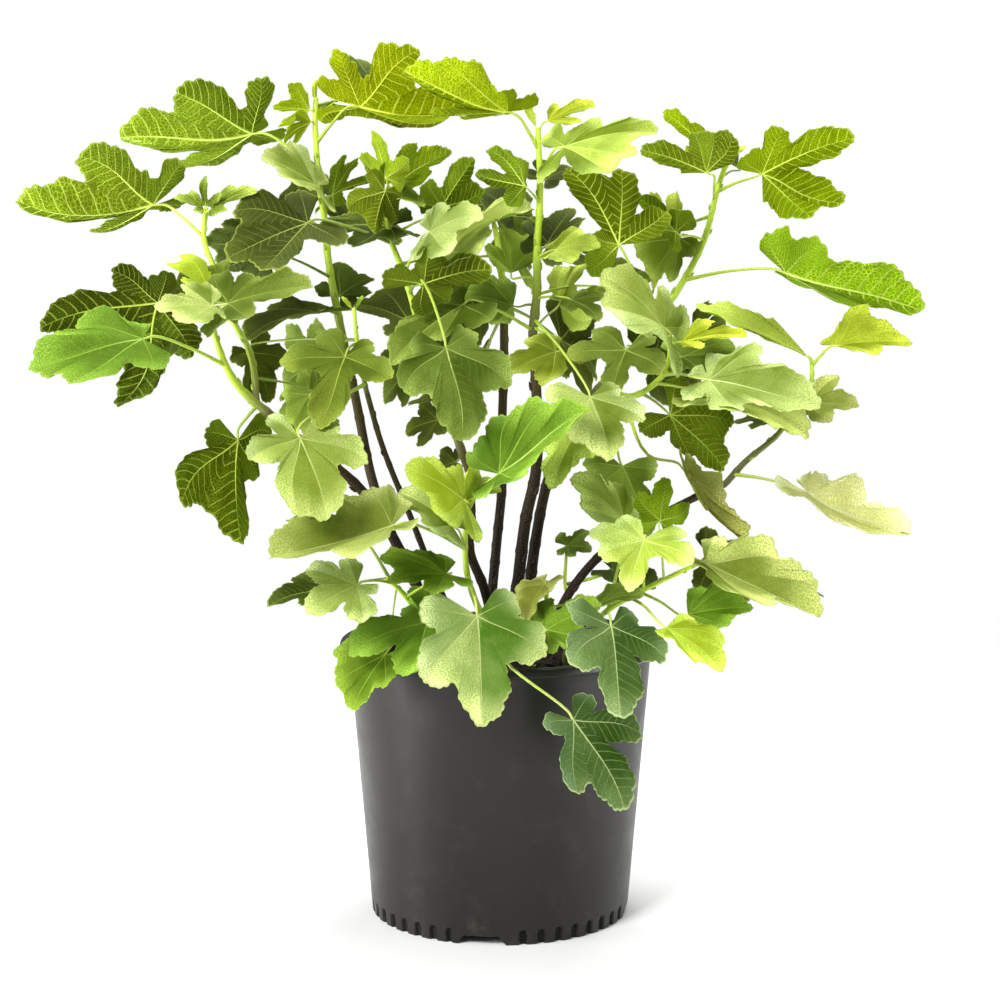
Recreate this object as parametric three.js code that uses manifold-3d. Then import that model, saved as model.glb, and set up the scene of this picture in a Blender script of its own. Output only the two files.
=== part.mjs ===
// Potted brown turkey fig: a young multi-stemmed fig in a black nursery pot.
// Millimetres, +Z up, the pot stands on z = 0 with its axis on x = y = 0.
import * as THREE from "three";
import { mergeVertices } from "three/addons/utils/BufferGeometryUtils.js";
import Module from "manifold-3d";

const wasm = await Module();
wasm.setup();

// Pot
const POT_HEIGHT = 241;
const RIM_RADIUS = 140;
const RIM_DROP = 8;
const WALL_TOP_RADIUS = 133;
const WALL_FOOT_RADIUS = 113;
const WALL_THICKNESS = 2.4;
const FLOOR_RAISE = 9;
const CENTRE_PAD_RADIUS = 52;
const FOOT_RING_WIDTH = 9;
const POT_SIDES = 36;
const NOTCH_WIDTH = 42;
const NOTCH_HEIGHT = 8;
const NOTCH_ANGLES = [-98, -8, 82, 172];
const DRAIN_RADIUS = 7;
const DRAIN_RING_RADIUS = 78;
const DRAIN_COUNT = 6;

// Soil
const SOIL_TOP = 228;
const SOIL_CROWN = 5;
const STEM_DEPTH = 14;
const HOLE_PLAY = 1.2;
const GAP = 0.3;

// Leaves and stems
const BLADE_THICKNESS = 1.0;
const BUTT_LENGTH = 3;
const PETIOLE_WIDTH = 2.4;
const PETIOLE_ROWS = 3;
const SHORT_PETIOLE = 28;
const PETIOLE_RISE = 0.03;
const BIG_LEAF = 105;
const SMALL_LEAF = 48;

// The view that places are read from: a camera 1.9 m in front, tilted slightly down.
// A place on a leaf or stem is [across, down, depth]: two picture units and the real y.
const EYE = new THREE.Vector3(0, -1900, 600);
const EYE_TILT = THREE.MathUtils.degToRad(7.1);
const EYE_REACH = 2200;
const PICTURE_MIDDLE = 500;

// Leaf forms: length of the blade between its lobes, width of a lobe, default lobes, arch and fold
const BROAD = { cut: 0.45, width: 0.51, spread: [[48, 0.8], [108, 0.55]], arch: 0.05, fold: 0.2 };
const DEEP = { cut: 0.38, width: 0.39, spread: [[50, 0.75], [108, 0.5]], arch: 0.05, fold: 0.15 };
const KEEL = { cut: 0.37, width: 0.35, spread: [[50, 0.7], [108, 0.45]], arch: -0.12, fold: 0.8 };
const CUPPED = { cut: 0.74, width: 0.42, spread: [[48, 0.75], [95, 0.35]], arch: -0.03, fold: 0.7 };
const OVAL = { cut: 0.75, width: 0.42, spread: [[26, 0.8], [64, 0.45]], arch: 0.06, fold: 0.25 };
const ENTIRE = { cut: 0.8, width: 0.7, spread: [[55, 0.7], [115, 0.45]], arch: 0.08, fold: 0.2 };
const YOUNG = { cut: 0.3, width: 0.34, spread: [[42, 0.65]], arch: 0.05, fold: 0.25 };
const SPARE = { cut: 0.4, width: 0.44, spread: [], arch: 0.05, fold: 0.2 };
const BUD = { cut: 0.3, width: 0.45, spread: [], arch: 0.02, fold: 0.2 };

// at: where the petiole meets the blade; tip: tip of the middle lobe;
// joint: place on the stem where the petiole grows; lobes: tips of the other lobes that show;
// open: how squarely the blade faces the view, 1 for full on
function upper(at, tip, joint, lobes, open, form, via) {
  return { at, tip, joint, lobes, open, form, via, side: 1 };
}

function under(at, tip, joint, lobes, open, form, via) {
  return { at, tip, joint, lobes, open, form, via, side: -1 };
}

// Woody stems: foot on the soil in millimetres, then places up to where the green wood starts
const WOODY_STEMS = [
  {
    name: "wood_tall_left",
    foot: [-38, -10],
    path: [[425, 600, -10], [406, 566, -8], [374, 486, 5], [358, 410, 15], [352, 380, 20]],
    radii: [4.8, 3.9],
  },
  {
    name: "wood_thin_left",
    foot: [-26, -35],
    path: [[440, 590, -38], [413, 523, -44], [382, 445, -52], [367, 393, -57]],
    radii: [3, 2.3],
  },
  {
    name: "wood_middle_left",
    foot: [-4, 12],
    path: [[484, 588, 6], [470, 551, 2], [471, 508, -2], [470, 475, -5], [462, 452, -8]],
    radii: [4.4, 3.8],
  },
  {
    name: "wood_back",
    foot: [-10, 44],
    path: [[497, 540, 52], [502, 486, 58], [502, 430, 64], [504, 360, 72], [504, 317, 78]],
    radii: [4.6, 3.8],
  },
  {
    name: "wood_middle",
    foot: [11, -6],
    path: [[518, 584, -8], [526, 518, -10], [536, 471, -12], [537, 410, -14], [533, 334, -17]],
    radii: [5.8, 4.2],
  },
  {
    name: "wood_right",
    foot: [24, 9],
    path: [[530, 584, 8], [543, 500, 9], [553, 466, 10], [590, 400, 12]],
    radii: [5.4, 4],
  },
  {
    name: "wood_far_right",
    foot: [40, -24],
    path: [[570, 592, -28], [612, 545, -35], [690, 500, -45], [721, 486, -48]],
    radii: [4.4, 3],
  },
  {
    name: "wood_far_left",
    foot: [-55, -38],
    path: [[428, 615, -46], [410, 570, -55], [363, 492, -70], [300, 440, -84], [268, 413, -90]],
    radii: [4.8, 3.8],
  },
];

// Leafy shoots: one or more stems, the first ones standing on wood or in the soil, and leaves
const SHOOTS = [
  {
    name: "shoot_tall_left",
    stems: [
      [[352, 380, 20], [339, 319, 32], [328, 258, 46], [324, 215, 55], [319, 183, 62],
        [315, 118, 78], [316, 98, 82]],
    ],
    radii: [3.8, 2.2],
    wood: "wood_tall_left",
    leaves: [
      under([252, 134, 60], [120, 138, 62], [313, 165],
        [[175, 79], [259, 75], [176, 158], [268, 130]], 0.78, KEEL),
      under([360, 107, 78], [482, 104, 122], [321, 142],
        [[414, 43], [341, 56], [447, 116], [322, 100]], 0.78, KEEL),
      under([310, 110, 76], [273, 106, 52], [315, 120], [[289, 86], [278, 126]], 0.8, YOUNG),
      under([311, 122, 72], [283, 142, 44], [316, 126], [], 0.6, YOUNG),
      upper([316, 102, 82], [316, 80, 86], [316, 106], [], 0.5, BUD),
      upper([320, 110, 86], [335, 101, 98], [316, 114], [], 0.6, BUD),
      upper([316, 186, 46], [262, 155, 12], [319, 190], [[285, 146], [280, 178]], 0.5, BROAD),
      under([332, 195, 78], [376, 178, 112], [322, 205], [[342, 153], [344, 206]], 0.5, DEEP),
      upper([262, 250, -10], [203, 243, -40], [331, 280], [[222, 224], [215, 268], [255, 278]], 0.7, BROAD),
      upper([318, 313, 10], [246, 340, -25], [337, 312], [], 0.25, ENTIRE),
      upper([340, 296, 75], [372, 276, 105], [337, 314], [[345, 264], [372, 292]], 0.7, BROAD),
      upper([315, 365, 100], [282, 392, 160], [347, 372], [], 0.7, BROAD),
      upper([300, 218, 118], [262, 226, 190], [322, 235], [], 0.7, BROAD),
      upper([362, 228, 130], [376, 222, 205], [324, 228], [], 0.7, BROAD),
      upper([382, 96, 140], [405, 90, 215], [316, 106], [], 0.6, BROAD),
    ],
  },
  {
    name: "shoot_thin_left",
    stems: [[[367, 393, -57], [357, 340, -60], [354, 308, -62]]],
    radii: [2.2, 1.5],
    wood: "wood_thin_left",
    leaves: [
      upper([352, 309, -62], [341, 297, -62], [354, 315], [], 0.6, BUD),
      upper([356, 308, -62], [364, 296, -62], [354, 313], [], 0.6, BUD),
      upper([345, 357, -112], [318, 428, -150], [358, 343],
        [[280, 365], [320, 325], [391, 377], [374, 341]], 0.95, BROAD),
      upper([300, 438, -150], [326, 520, -190], [366, 386],
        [[248, 462], [268, 413], [367, 463], [340, 420], [298, 510]], 0.95, BROAD),
      upper([250, 352, 20], [270, 402, 40], [357, 342], [], 0.7, BROAD),
    ],
  },
  {
    name: "shoot_middle_left",
    stems: [
      [[462, 452, -8], [440, 390, -16], [418, 321, -24], [404, 274, -30], [390, 237, -36],
        [387, 211, -40], [389, 187, -42]],
    ],
    radii: [3.7, 2],
    wood: "wood_middle_left",
    leaves: [
      upper([308, 223, -62], [226, 261, -85], [391, 243], [[234, 213], [298, 186], [262, 272]], 0.8, BROAD),
      upper([390, 226, -30], [312, 236, -14], [389, 232], [[408, 208], [350, 246], [350, 216]], 0.5, BROAD),
      under([385, 191, -60], [372, 233, -80], [389, 194], [[350, 208], [398, 222]], 0.8, BROAD),
      upper([398, 196, -36], [425, 208, -34], [389, 200], [], 0.4, ENTIRE),
      under([386, 178, -46], [372, 131, -52], [389, 190], [[408, 160], [352, 154]], 0.6, BROAD),
      under([398, 183, -30], [450, 150, -22], [389, 192], [[415, 143], [432, 178]], 0.6, BROAD),
      upper([430, 232, -70], [484, 215, -100], [404, 275], [[447, 203], [425, 212], [455, 254]], 0.75, BROAD),
      under([442, 208, -14], [474, 158, 2], [390, 236], [[428, 180], [482, 190]], 0.8, BROAD),
      under([423, 284, -75], [492, 268, -95], [408, 292], [[437, 247], [450, 300], [384, 270]], 0.85, BROAD),
      upper([445, 255, 0], [533, 207, -15], [401, 265], [[482, 218], [490, 248]], 0.3, ENTIRE),
      upper([410, 322, 10], [355, 305, 35], [418, 326], [[380, 290], [385, 335]], 0.7, BROAD),
      upper([446, 348, -130], [461, 443, -165], [404, 274],
        [[404, 392], [508, 388], [412, 345], [478, 328]], 0.95, BROAD, [425, 284, -84]),
      upper([438, 420, 30], [405, 433, 45], [452, 424], [[418, 447], [420, 405]], 0.8, BROAD),
      upper([456, 462, 35], [430, 474, 50], [460, 445], [], 0.7, BROAD),
      upper([415, 365, 30], [385, 402, 50], [428, 354], [], 0.7, BROAD),
    ],
  },
  {
    name: "shoot_back",
    stems: [[[504, 317, 78], [502, 280, 92], [497, 240, 104], [490, 205, 112]]],
    radii: [3.7, 2],
    wood: "wood_back",
    leaves: [
      upper([488, 203, 112], [470, 240, 90], [491, 208], [], 0.8, BROAD),
      upper([548, 246, 115], [592, 250, 150], [500, 264], [], 0.7, BROAD),
      upper([470, 262, 130], [420, 300, 165], [499, 258], [], 0.7, BROAD),
      upper([480, 312, 140], [452, 336, 200], [503, 296], [], 0.7, BROAD),
      upper([455, 320, 170], [430, 345, 245], [503, 300], [], 0.7, BROAD),
      upper([560, 340, 170], [600, 372, 235], [504, 306], [], 0.7, BROAD),
      upper([500, 230, 150], [530, 255, 225], [496, 235], [], 0.7, BROAD),
      upper([470, 385, 175], [440, 382, 250], [504, 312], [], 0.7, BROAD),
    ],
  },
  {
    name: "shoot_middle",
    stems: [[[533, 334, -17], [537, 291, -18], [537, 254, -18], [540, 193, -18], [538, 128, -14]]],
    radii: [4, 2.2],
    wood: "wood_middle",
    leaves: [
      under([508, 112, -28], [404, 68, -62], [538, 152],
        [[448, 56], [503, 84], [538, 116], [464, 122]], 0.78, KEEL),
      under([525, 186, -40], [488, 148, -62], [539, 203],
        [[474, 178], [508, 202], [512, 160]], 0.8, SPARE),
      upper([545, 180, 8], [572, 168, 30], [540, 200], [], 0.6, BROAD),
      upper([512, 214, 48], [480, 190, 72], [539, 225], [], 0.6, ENTIRE),
      upper([565, 147, -60], [658, 130, -95], [539, 176],
        [[604, 124], [636, 160], [612, 172], [545, 125]], 0.6, DEEP),
      upper([548, 121, 0], [596, 104, 8], [538, 132], [[558, 104], [582, 123]], 0.7, YOUNG),
      upper([536, 127, -14], [520, 100, -14], [538, 133], [], 0.6, BUD),
      upper([463, 305, -48], [388, 362, -42], [533, 332], [[420, 310], [455, 287], [440, 345]], 0.7, BROAD),
      upper([511, 273, 20], [505, 222, 45], [537, 280], [[485, 247], [532, 236]], 0.7, SPARE),
      upper([548, 243, 15], [572, 208, 45], [538, 252], [], 0.7, BROAD),
      upper([556, 250, -30], [600, 248, -45], [538, 257], [[586, 278]], 0.5, ENTIRE),
      upper([560, 303, 22], [586, 262, 44], [534, 332],
        [[606, 290], [600, 322], [562, 266]], 0.7, SPARE),
      upper([513, 306, 14], [461, 297, 40], [536, 306],
        [[500, 284], [490, 324], [468, 278]], 0.6, SPARE),
      upper([612, 286, 96], [652, 280, 134], [537, 294], [[628, 264], [640, 302]], 0.7, SPARE),
      upper([556, 352, -62], [507, 372, -85], [534, 328], [[540, 392], [525, 340]], 0.7, BROAD),
      upper([590, 397, -150], [607, 460, -185], [535, 318],
        [[645, 420], [620, 388], [545, 393], [573, 445]], 0.95, BROAD),
      upper([571, 300, -50], [600, 320, -75], [536, 298], [], 0.6, BROAD),
    ],
  },
  {
    name: "shoot_right",
    stems: [
      [[590, 400, 12], [640, 340, 18], [679, 288, 28], [704, 240, 38], [719, 184, 50], [728, 160, 54]],
      [[606, 381, 14], [624, 396, -25], [643, 392, -50], [663, 375, -62], [669, 360, -66], [671, 342, -70]],
    ],
    radii: [3.8, 2.2],
    wood: "wood_right",
    leaves: [
      under([619, 245, -22], [568, 164, -55], [648, 330],
        [[620, 172], [668, 210], [592, 236]], 0.85, DEEP, [640, 290, -5]),
      under([676, 232, 0], [637, 198, 5], [703, 242], [[676, 208], [694, 214], [645, 226]], 0.7, BROAD),
      upper([680, 238, 52], [649, 277, 78], [703, 243], [[636, 251], [672, 283]], 0.8, BROAD),
      under([707, 173, 34], [640, 149, 50], [715, 200],
        [[733, 132], [692, 134], [714, 131]], 0.8, SPARE),
      under([706, 152, 74], [664, 112, 96], [724, 170],
        [[690, 123], [640, 152], [655, 136], [680, 160]], 0.6, SPARE),
      under([762, 174, 38], [856, 138, 30], [720, 192],
        [[785, 130], [843, 200], [812, 218], [742, 152]], 0.8, SPARE),
      under([786, 273, -20], [922, 314, -60], [686, 283], [[812, 248], [766, 235]], 0.67, CUPPED),
      upper([730, 160, 54], [746, 146, 54], [727, 166], [], 0.6, BUD),
      upper([664, 328, -105], [601, 277, -150], [670, 350], [[602, 302], [663, 285], [697, 317]], 0.6, BROAD),
      upper([682, 342, -90], [748, 338, -115], [669, 360], [[714, 320]], 0.5, YOUNG),
      upper([682, 357, -52], [740, 354, -48], [667, 366], [[718, 376], [730, 343]], 0.6, BROAD),
      upper([708, 380, -125], [820, 403, -170], [664, 375],
        [[764, 356], [729, 352], [686, 371], [684, 397], [742, 412], [792, 428]], 0.8, SPARE),
      upper([712, 398, -88], [808, 437, -110], [655, 383], [[766, 434]], 0.35, ENTIRE),
      under([670, 415, -40], [724, 470, -60], [641, 394], [[733, 423], [715, 400], [690, 458]], 0.85, BROAD),
      upper([684, 470, -86], [748, 540, -96], [620, 401],
        [[733, 494], [690, 455]], 0.6, KEEL, [648, 455, -70]),
      upper([626, 350, -98], [613, 397, -122], [664, 372],
        [[566, 356], [664, 373], [592, 326], [655, 335]], 0.9, BROAD),
      upper([583, 420, -95], [553, 490, -125], [612, 399], [[545, 452], [590, 458]], 0.8, BROAD),
      upper([622, 466, 40], [650, 536, 60], [606, 381],
        [[656, 470], [590, 466], [600, 494]], 0.8, SPARE),
      upper([690, 340, 80], [704, 372, 140], [664, 318], [], 0.7, BROAD),
      upper([650, 366, 110], [690, 382, 180], [625, 360], [], 0.7, BROAD),
      upper([674, 236, 120], [652, 256, 190], [712, 215], [], 0.7, BROAD),
      upper([738, 168, 118], [716, 150, 150], [722, 178], [], 0.7, SPARE),
    ],
  },
  {
    name: "shoot_far_right",
    stems: [[[721, 486, -48], [745, 462, -50], [778, 434, -52], [800, 402, -54], [811, 383, -55],
      [812, 360, -56]]],
    radii: [2.9, 1.7],
    wood: "wood_far_right",
    leaves: [
      upper([807, 356, -57], [697, 304, -50], [812, 364], [], 0.4, BUD),
      upper([838, 346, -62], [912, 344, -82], [812, 366],
        [[868, 308], [880, 354], [826, 330]], 0.5, OVAL),
      upper([772, 416, 20], [756, 412, 66], [790, 414], [], 0.7, BROAD),
      upper([806, 404, -72], [859, 404, -85], [806, 392], [[838, 376]], 0.7, BROAD),
      upper([808, 493, -90], [910, 535, -125], [733, 476],
        [[870, 487], [828, 470], [798, 481], [838, 512], [812, 500]], 0.78, KEEL),
    ],
  },
  {
    name: "shoot_far_left",
    stems: [
      [[268, 413, -90], [240, 388, -95], [228, 370, -100], [217, 342, -105], [210, 314, -108]],
      [[256, 404, -92], [255, 378, -82], [249, 350, -74], [234, 322, -62], [215, 270, -50],
        [204, 240, -45], [206, 208, -42]],
    ],
    radii: [3.7, 2],
    wood: "wood_far_left",
    leaves: [
      under([153, 205, -40], [15, 201, -70], [204, 238],
        [[75, 143], [30, 174], [183, 165], [92, 224], [181, 218]], 0.78, KEEL),
      upper([206, 206, -42], [206, 176, -46], [206, 214], [[188, 193], [222, 193]], 0.8, YOUNG),
      upper([203, 209, -46], [175, 197, -62], [206, 216], [], 0.6, YOUNG),
      upper([210, 210, -46], [257, 191, -62], [206, 215], [[238, 190]], 0.5, YOUNG),
      under([158, 303, -20], [41, 329, -45], [234, 322],
        [[112, 274], [116, 420], [190, 356], [166, 270]], 0.9, DEEP),
      upper([143, 339, -150], [30, 368, -178], [225, 367],
        [[70, 385], [152, 366], [75, 325], [140, 322]], 0.7, BROAD),
      upper([212, 306, -122], [155, 308, -150], [211, 318], [[182, 284], [178, 324]], 0.6, BROAD),
      upper([210, 292, -90], [166, 262, -84], [211, 318], [[182, 254]], 0.5, YOUNG),
      upper([222, 286, -73], [228, 260, -68], [212, 316], [[205, 266]], 0.6, ENTIRE),
      upper([228, 304, -112], [313, 284, -122], [212, 320], [[258, 276], [250, 318]], 0.6, BROAD),
      under([238, 440, -95], [237, 544, -125], [258, 404],
        [[186, 503], [206, 432], [257, 478]], 0.7, BROAD),
      upper([176, 328, 20], [136, 340, 70], [222, 290], [], 0.7, BROAD),
      upper([180, 318, 60], [150, 322, 140], [226, 300], [], 0.7, BROAD),
      upper([310, 395, -30], [290, 430, -10], [255, 378], [], 0.7, BROAD),
    ],
  },
  {
    name: "shoot_front",
    foot: [-10, -62],
    stems: [[[486, 625, -68], [475, 600, -74], [467, 573, -80], [465, 540, -86], [467, 505, -92],
      [468, 492, -94]]],
    radii: [3.2, 2],
    leaves: [
      upper([392, 526, -150], [268, 560, -180], [463, 548], [[372, 486], [402, 494]], 0.67, CUPPED),
      upper([464, 500, -112], [404, 469, -152], [467, 505], [[430, 512], [444, 470]], 0.8, BROAD),
      upper([474, 494, -96], [500, 490, -110], [467, 502], [], 0.5, ENTIRE),
      upper([468, 492, -94], [470, 470, -94], [468, 497], [], 0.6, BUD),
      upper([452, 526, -116], [397, 494, -118], [465, 545], [], 0.6, ENTIRE),
      upper([477, 616, -150], [484, 726, -185], [467, 576],
        [[424, 686], [417, 614], [543, 658], [521, 597]], 0.97, BROAD),
      upper([573, 720, -172], [626, 811, -182], [486, 630],
        [[577, 796], [641, 736], [546, 726], [590, 694]], 0.9, DEEP, [512, 668, -158]),
      upper([499, 474, -165], [590, 410, -200], [467, 512],
        [[545, 402], [506, 412], [472, 450]], 0.67, CUPPED),
    ],
  },
  {
    name: "shoot_low_left",
    foot: [-52, -68],
    stems: [[[428, 630, -76], [412, 605, -84], [400, 590, -90], [386, 578, -96]]],
    radii: [2.8, 1.8],
    leaves: [
      upper([357, 585, -140], [306, 613, -162], [392, 583],
        [[306, 570], [360, 626], [378, 590]], 0.85, BROAD),
      upper([330, 590, -70], [267, 604, -82], [386, 580], [[293, 578]], 0.5, BROAD),
      upper([352, 526, 20], [332, 514, 96], [392, 583], [], 0.7, BROAD),
      upper([446, 574, -125], [390, 583, -148], [406, 598], [[412, 553], [370, 552]], 0.6, BROAD),
      upper([428, 622, -106], [350, 654, -132], [412, 606], [[402, 684], [405, 606]], 0.7, BROAD),
      upper([385, 655, -112], [349, 709, -130], [412, 606], [[337, 685], [335, 655], [384, 690]], 0.85, BROAD,
        [400, 634, -104]),
      upper([388, 634, -70], [364, 640, -84], [396, 588], [[378, 649], [370, 624]], 0.7, BROAD),
    ],
  },
  {
    name: "shoot_low_middle",
    foot: [26, -78],
    stems: [[[543, 640, -90], [547, 615, -98], [546, 592, -103]]],
    radii: [2.6, 1.8],
    leaves: [
      upper([545, 584, -104], [525, 620, -122], [546, 600], [], 0.6, ENTIRE),
      upper([547, 630, -124], [600, 602, -136], [546, 610], [[548, 597], [588, 640], [555, 650]], 0.8, BROAD),
      upper([600, 604, -112], [643, 598, -128], [547, 608], [], 0.4, ENTIRE),
    ],
  },
  {
    name: "shoot_low_right",
    foot: [56, -58],
    stems: [[[585, 640, -76], [603, 614, -86], [640, 592, -92], [680, 572, -92], [702, 562, -90]]],
    radii: [2.8, 1.8],
    leaves: [
      upper([611, 626, -152], [621, 719, -188], [603, 614], [[570, 668], [667, 659], [638, 611]], 0.9, BROAD),
      upper([644, 540, -150], [630, 592, -178], [645, 590],
        [[697, 566], [588, 530], [619, 512], [686, 531]], 0.95, BROAD),
      under([660, 521, -110], [668, 477, -100], [665, 580], [[696, 503], [638, 492]], 0.8, BROAD),
      upper([624, 522, -60], [572, 478, -84], [610, 610],
        [[610, 480], [584, 508], [640, 500]], 0.6, BROAD),
      upper([705, 563, -132], [822, 610, -168], [694, 566],
        [[780, 562], [712, 541], [770, 606]], 0.67, CUPPED),
      upper([762, 572, -10], [778, 570, 66], [700, 564], [], 0.7, BROAD),
      upper([712, 560, -60], [749, 600, -52], [700, 564], [[711, 525], [698, 592]], 0.8, BROAD),
      upper([688, 615, -128], [752, 607, -146], [640, 592], [], 0.8, OVAL),
      upper([666, 628, -182], [724, 671, -206], [630, 598], [], 0.6, OVAL),
    ],
  },
  {
    name: "shoot_twig",
    foot: [50, 18],
    stems: [
      [[580, 620, 4], [566, 590, 0], [566, 560, -3], [567, 546, -4]],
      [[567, 584, 0], [585, 580, -4], [612, 572, -8]],
    ],
    radii: [2, 1.3],
    leaves: [
      upper([567, 546, -6], [592, 550, -14], [567, 552], [[558, 530], [590, 532]], 0.8, BROAD),
      upper([612, 570, -10], [655, 590, -30], [608, 573], [], 0.6, ENTIRE),
    ],
  },
];

// Places along a lobe where its outline has a point, up one edge (below 0) and down the other:
// first for the tip, then for the lobes beside it, then for the lobes beside the petiole
const LOBE_SAMPLES = {
  big: [[-0.62, -0.88, 1, 0.88, 0.62], [-0.72, -0.95, 0.95, 0.72], [-0.8, 1, 0.8]],
  middle: [[-0.8, 1, 0.8], [-0.93, 0.93], [-0.9, 0.9]],
  small: [[-0.93, 0.93], [-0.9, 0.9], [1]],
};
const ROUND_START = 0.62;
const LOBE_TAPER = 0.7;
const EDGE_BLEND = 10;
const SIDE_LOBE_ANGLE = 25;
const BASE_LOBE_ANGLE = 75;
const BASE_GAP_TURN = 32;
const BASE_GAP_LIMIT = 168;
const BASE_GAP_SHARE = 0.45;
const DEFAULT_LOBE_CLEAR = 33;
const LOBE_APART = 14;

// Colours of the photographed plant
const COLOURS = {
  pot: 0x3e3b37,
  soil: 0x2b211a,
  wood: 0x33271d,
  leaf: 0x6f9a2c,
};

// Turns a place [across, down, depth] into a point in millimetres
function sight([across, down, depth]) {
  const forward = new THREE.Vector3(0, Math.cos(EYE_TILT), -Math.sin(EYE_TILT));
  const up = new THREE.Vector3(0, Math.sin(EYE_TILT), Math.cos(EYE_TILT));
  const ray = forward.clone();
  ray.x += (across - PICTURE_MIDDLE) / EYE_REACH;
  ray.addScaledVector(up, -(down - PICTURE_MIDDLE) / EYE_REACH);
  return EYE.clone().addScaledVector(ray, (depth - EYE.y) / ray.y);
}

// Across and down of a point in millimetres
function seen(point) {
  const away = point.clone().sub(EYE);
  const near = away.y * Math.cos(EYE_TILT) - away.z * Math.sin(EYE_TILT);
  const rise = away.y * Math.sin(EYE_TILT) + away.z * Math.cos(EYE_TILT);
  return [PICTURE_MIDDLE + (EYE_REACH * away.x) / near, PICTURE_MIDDLE - (EYE_REACH * rise) / near];
}

// Closed solid from rows of points: every row is a ring, the ends are closed by fans
function tube(points, radii, sides) {
  const positions = [];
  const faces = [];
  let side = new THREE.Vector3(1, 0.2, 0.1);
  points.forEach((point, row) => {
    const before = points[Math.max(row - 1, 0)];
    const after = points[Math.min(row + 1, points.length - 1)];
    const along = after.clone().sub(before).normalize();
    side = side.clone().addScaledVector(along, -side.dot(along)).normalize();
    const other = along.clone().cross(side);
    for (let step = 0; step < sides; step += 1) {
      const turn = (2 * Math.PI * step) / sides;
      const spot = point.clone();
      spot.addScaledVector(side, radii[row] * Math.cos(turn));
      spot.addScaledVector(other, radii[row] * Math.sin(turn));
      positions.push(spot.x, spot.y, spot.z);
    }
  });
  const last = (points.length - 1) * sides;
  for (let row = 0; row < points.length - 1; row += 1) {
    for (let step = 0; step < sides; step += 1) {
      const a = row * sides + step;
      const b = row * sides + ((step + 1) % sides);
      faces.push(a, b, b + sides, a, b + sides, a + sides);
    }
  }
  for (let step = 1; step < sides - 1; step += 1) {
    faces.push(0, step + 1, step);
    faces.push(last, last + step, last + step + 1);
  }
  return solid(positions, faces);
}

function solid(positions, faces) {
  return new wasm.Manifold(
    new wasm.Mesh({
      numProp: 3,
      vertProperties: new Float32Array(positions),
      triVerts: new Uint32Array(faces),
    }),
  );
}

// Smooth line through points, with a given number of steps between neighbours
function smooth(points, steps) {
  const curve = new THREE.CatmullRomCurve3(points, false, "centripetal");
  return curve.getPoints((points.length - 1) * steps);
}

function blend(from, to, count) {
  return Array.from({ length: count }, (_, row) => from + ((to - from) * row) / (count - 1));
}

// Frame of a blade: origin at the petiole, x to the tip, y across, n the upper side
function bladeFrame(leaf) {
  const origin = sight(leaf.at);
  const along = sight(leaf.tip).sub(origin);
  const length = along.length();
  along.normalize();
  const facing = EYE.clone().sub(origin).normalize();
  facing.addScaledVector(along, -facing.dot(along)).normalize().multiplyScalar(leaf.side);
  const roll = along.clone().cross(facing).multiplyScalar(Math.sqrt(1 - leaf.open ** 2));
  facing.multiplyScalar(leaf.open);
  const first = facing.clone().add(roll);
  const second = facing.clone().sub(roll);
  const n = first.z > second.z ? first : second;
  const across = n.clone().cross(along);
  return { origin, along, across, n, length };
}

// Where a place of the view lies on one half of a folded blade, or null if it is on the other half
function onHalf(frame, [across, down], slope) {
  const ray = sight([across, down, 0]).sub(EYE).normalize();
  const sideways = frame.across.clone().addScaledVector(frame.n, slope);
  const facing = frame.along.clone().cross(sideways);
  const travel = frame.origin.clone().sub(EYE).dot(facing) / ray.dot(facing);
  const spot = EYE.clone().addScaledVector(ray, travel).sub(frame.origin);
  const y = spot.dot(sideways) / sideways.lengthSq();
  return y * slope > 0 ? { x: spot.dot(frame.along), y } : null;
}

// Lobes of a blade as angle and length from the petiole, the tip at angle 0
function bladeLobes(leaf, frame) {
  const lobes = [{ angle: 0, reach: frame.length }];
  for (const place of leaf.lobes) {
    const halves = [leaf.form.fold, -leaf.form.fold].map((slope) => onHalf(frame, place, slope));
    const spots = halves.filter((spot) => spot !== null);
    spots.sort((one, two) => Math.hypot(one.x, one.y) - Math.hypot(two.x, two.y));
    if (spots.length > 0) {
      const [{ x, y }] = spots;
      const reach = Math.min(Math.hypot(x, y), 1.1 * frame.length);
      lobes.push({ angle: THREE.MathUtils.radToDeg(Math.atan2(y, x)), reach });
    }
  }
  for (const side of [-1, 1]) {
    for (const [angle, share] of leaf.form.spread) {
      const near = (lobe) => Math.abs(lobe.angle - side * angle) < DEFAULT_LOBE_CLEAR;
      const taken = lobes.some((lobe) => lobe.angle !== 0 && near(lobe));
      const inside = lobes.some((lobe) => side * lobe.angle > angle + 25 && angle > 90);
      if (!taken && !inside) {
        lobes.push({ angle: side * angle, reach: share * frame.length });
      }
    }
  }
  lobes.sort((one, two) => one.angle - two.angle);
  return lobes.filter((lobe, index) => index === 0 || lobe.angle - lobes[index - 1].angle > LOBE_APART);
}

// Half the width of a paddle-shaped lobe at a share of its length
function halfWidth(share, width) {
  const end = Math.max((share - ROUND_START) / (1 - ROUND_START), 0);
  const taper = Math.max(1 - share / ROUND_START, 0);
  return 0.5 * width * (1 - end ** 2) ** 0.62 * (1 - LOBE_TAPER * taper);
}

// Length of the ray from the petiole to the edge of a lobe, at an angle from its rib
function lobeRay(offset, reach, width) {
  const turn = THREE.MathUtils.degToRad(Math.abs(offset));
  let near = 0.01;
  let far = 1;
  for (let step = 0; step < 24; step += 1) {
    const share = (near + far) / 2;
    if (Math.atan2(halfWidth(share, width / reach), share) > turn) {
      near = share;
    } else {
      far = share;
    }
  }
  return reach * Math.hypot(near, halfWidth(near, width / reach));
}

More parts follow.
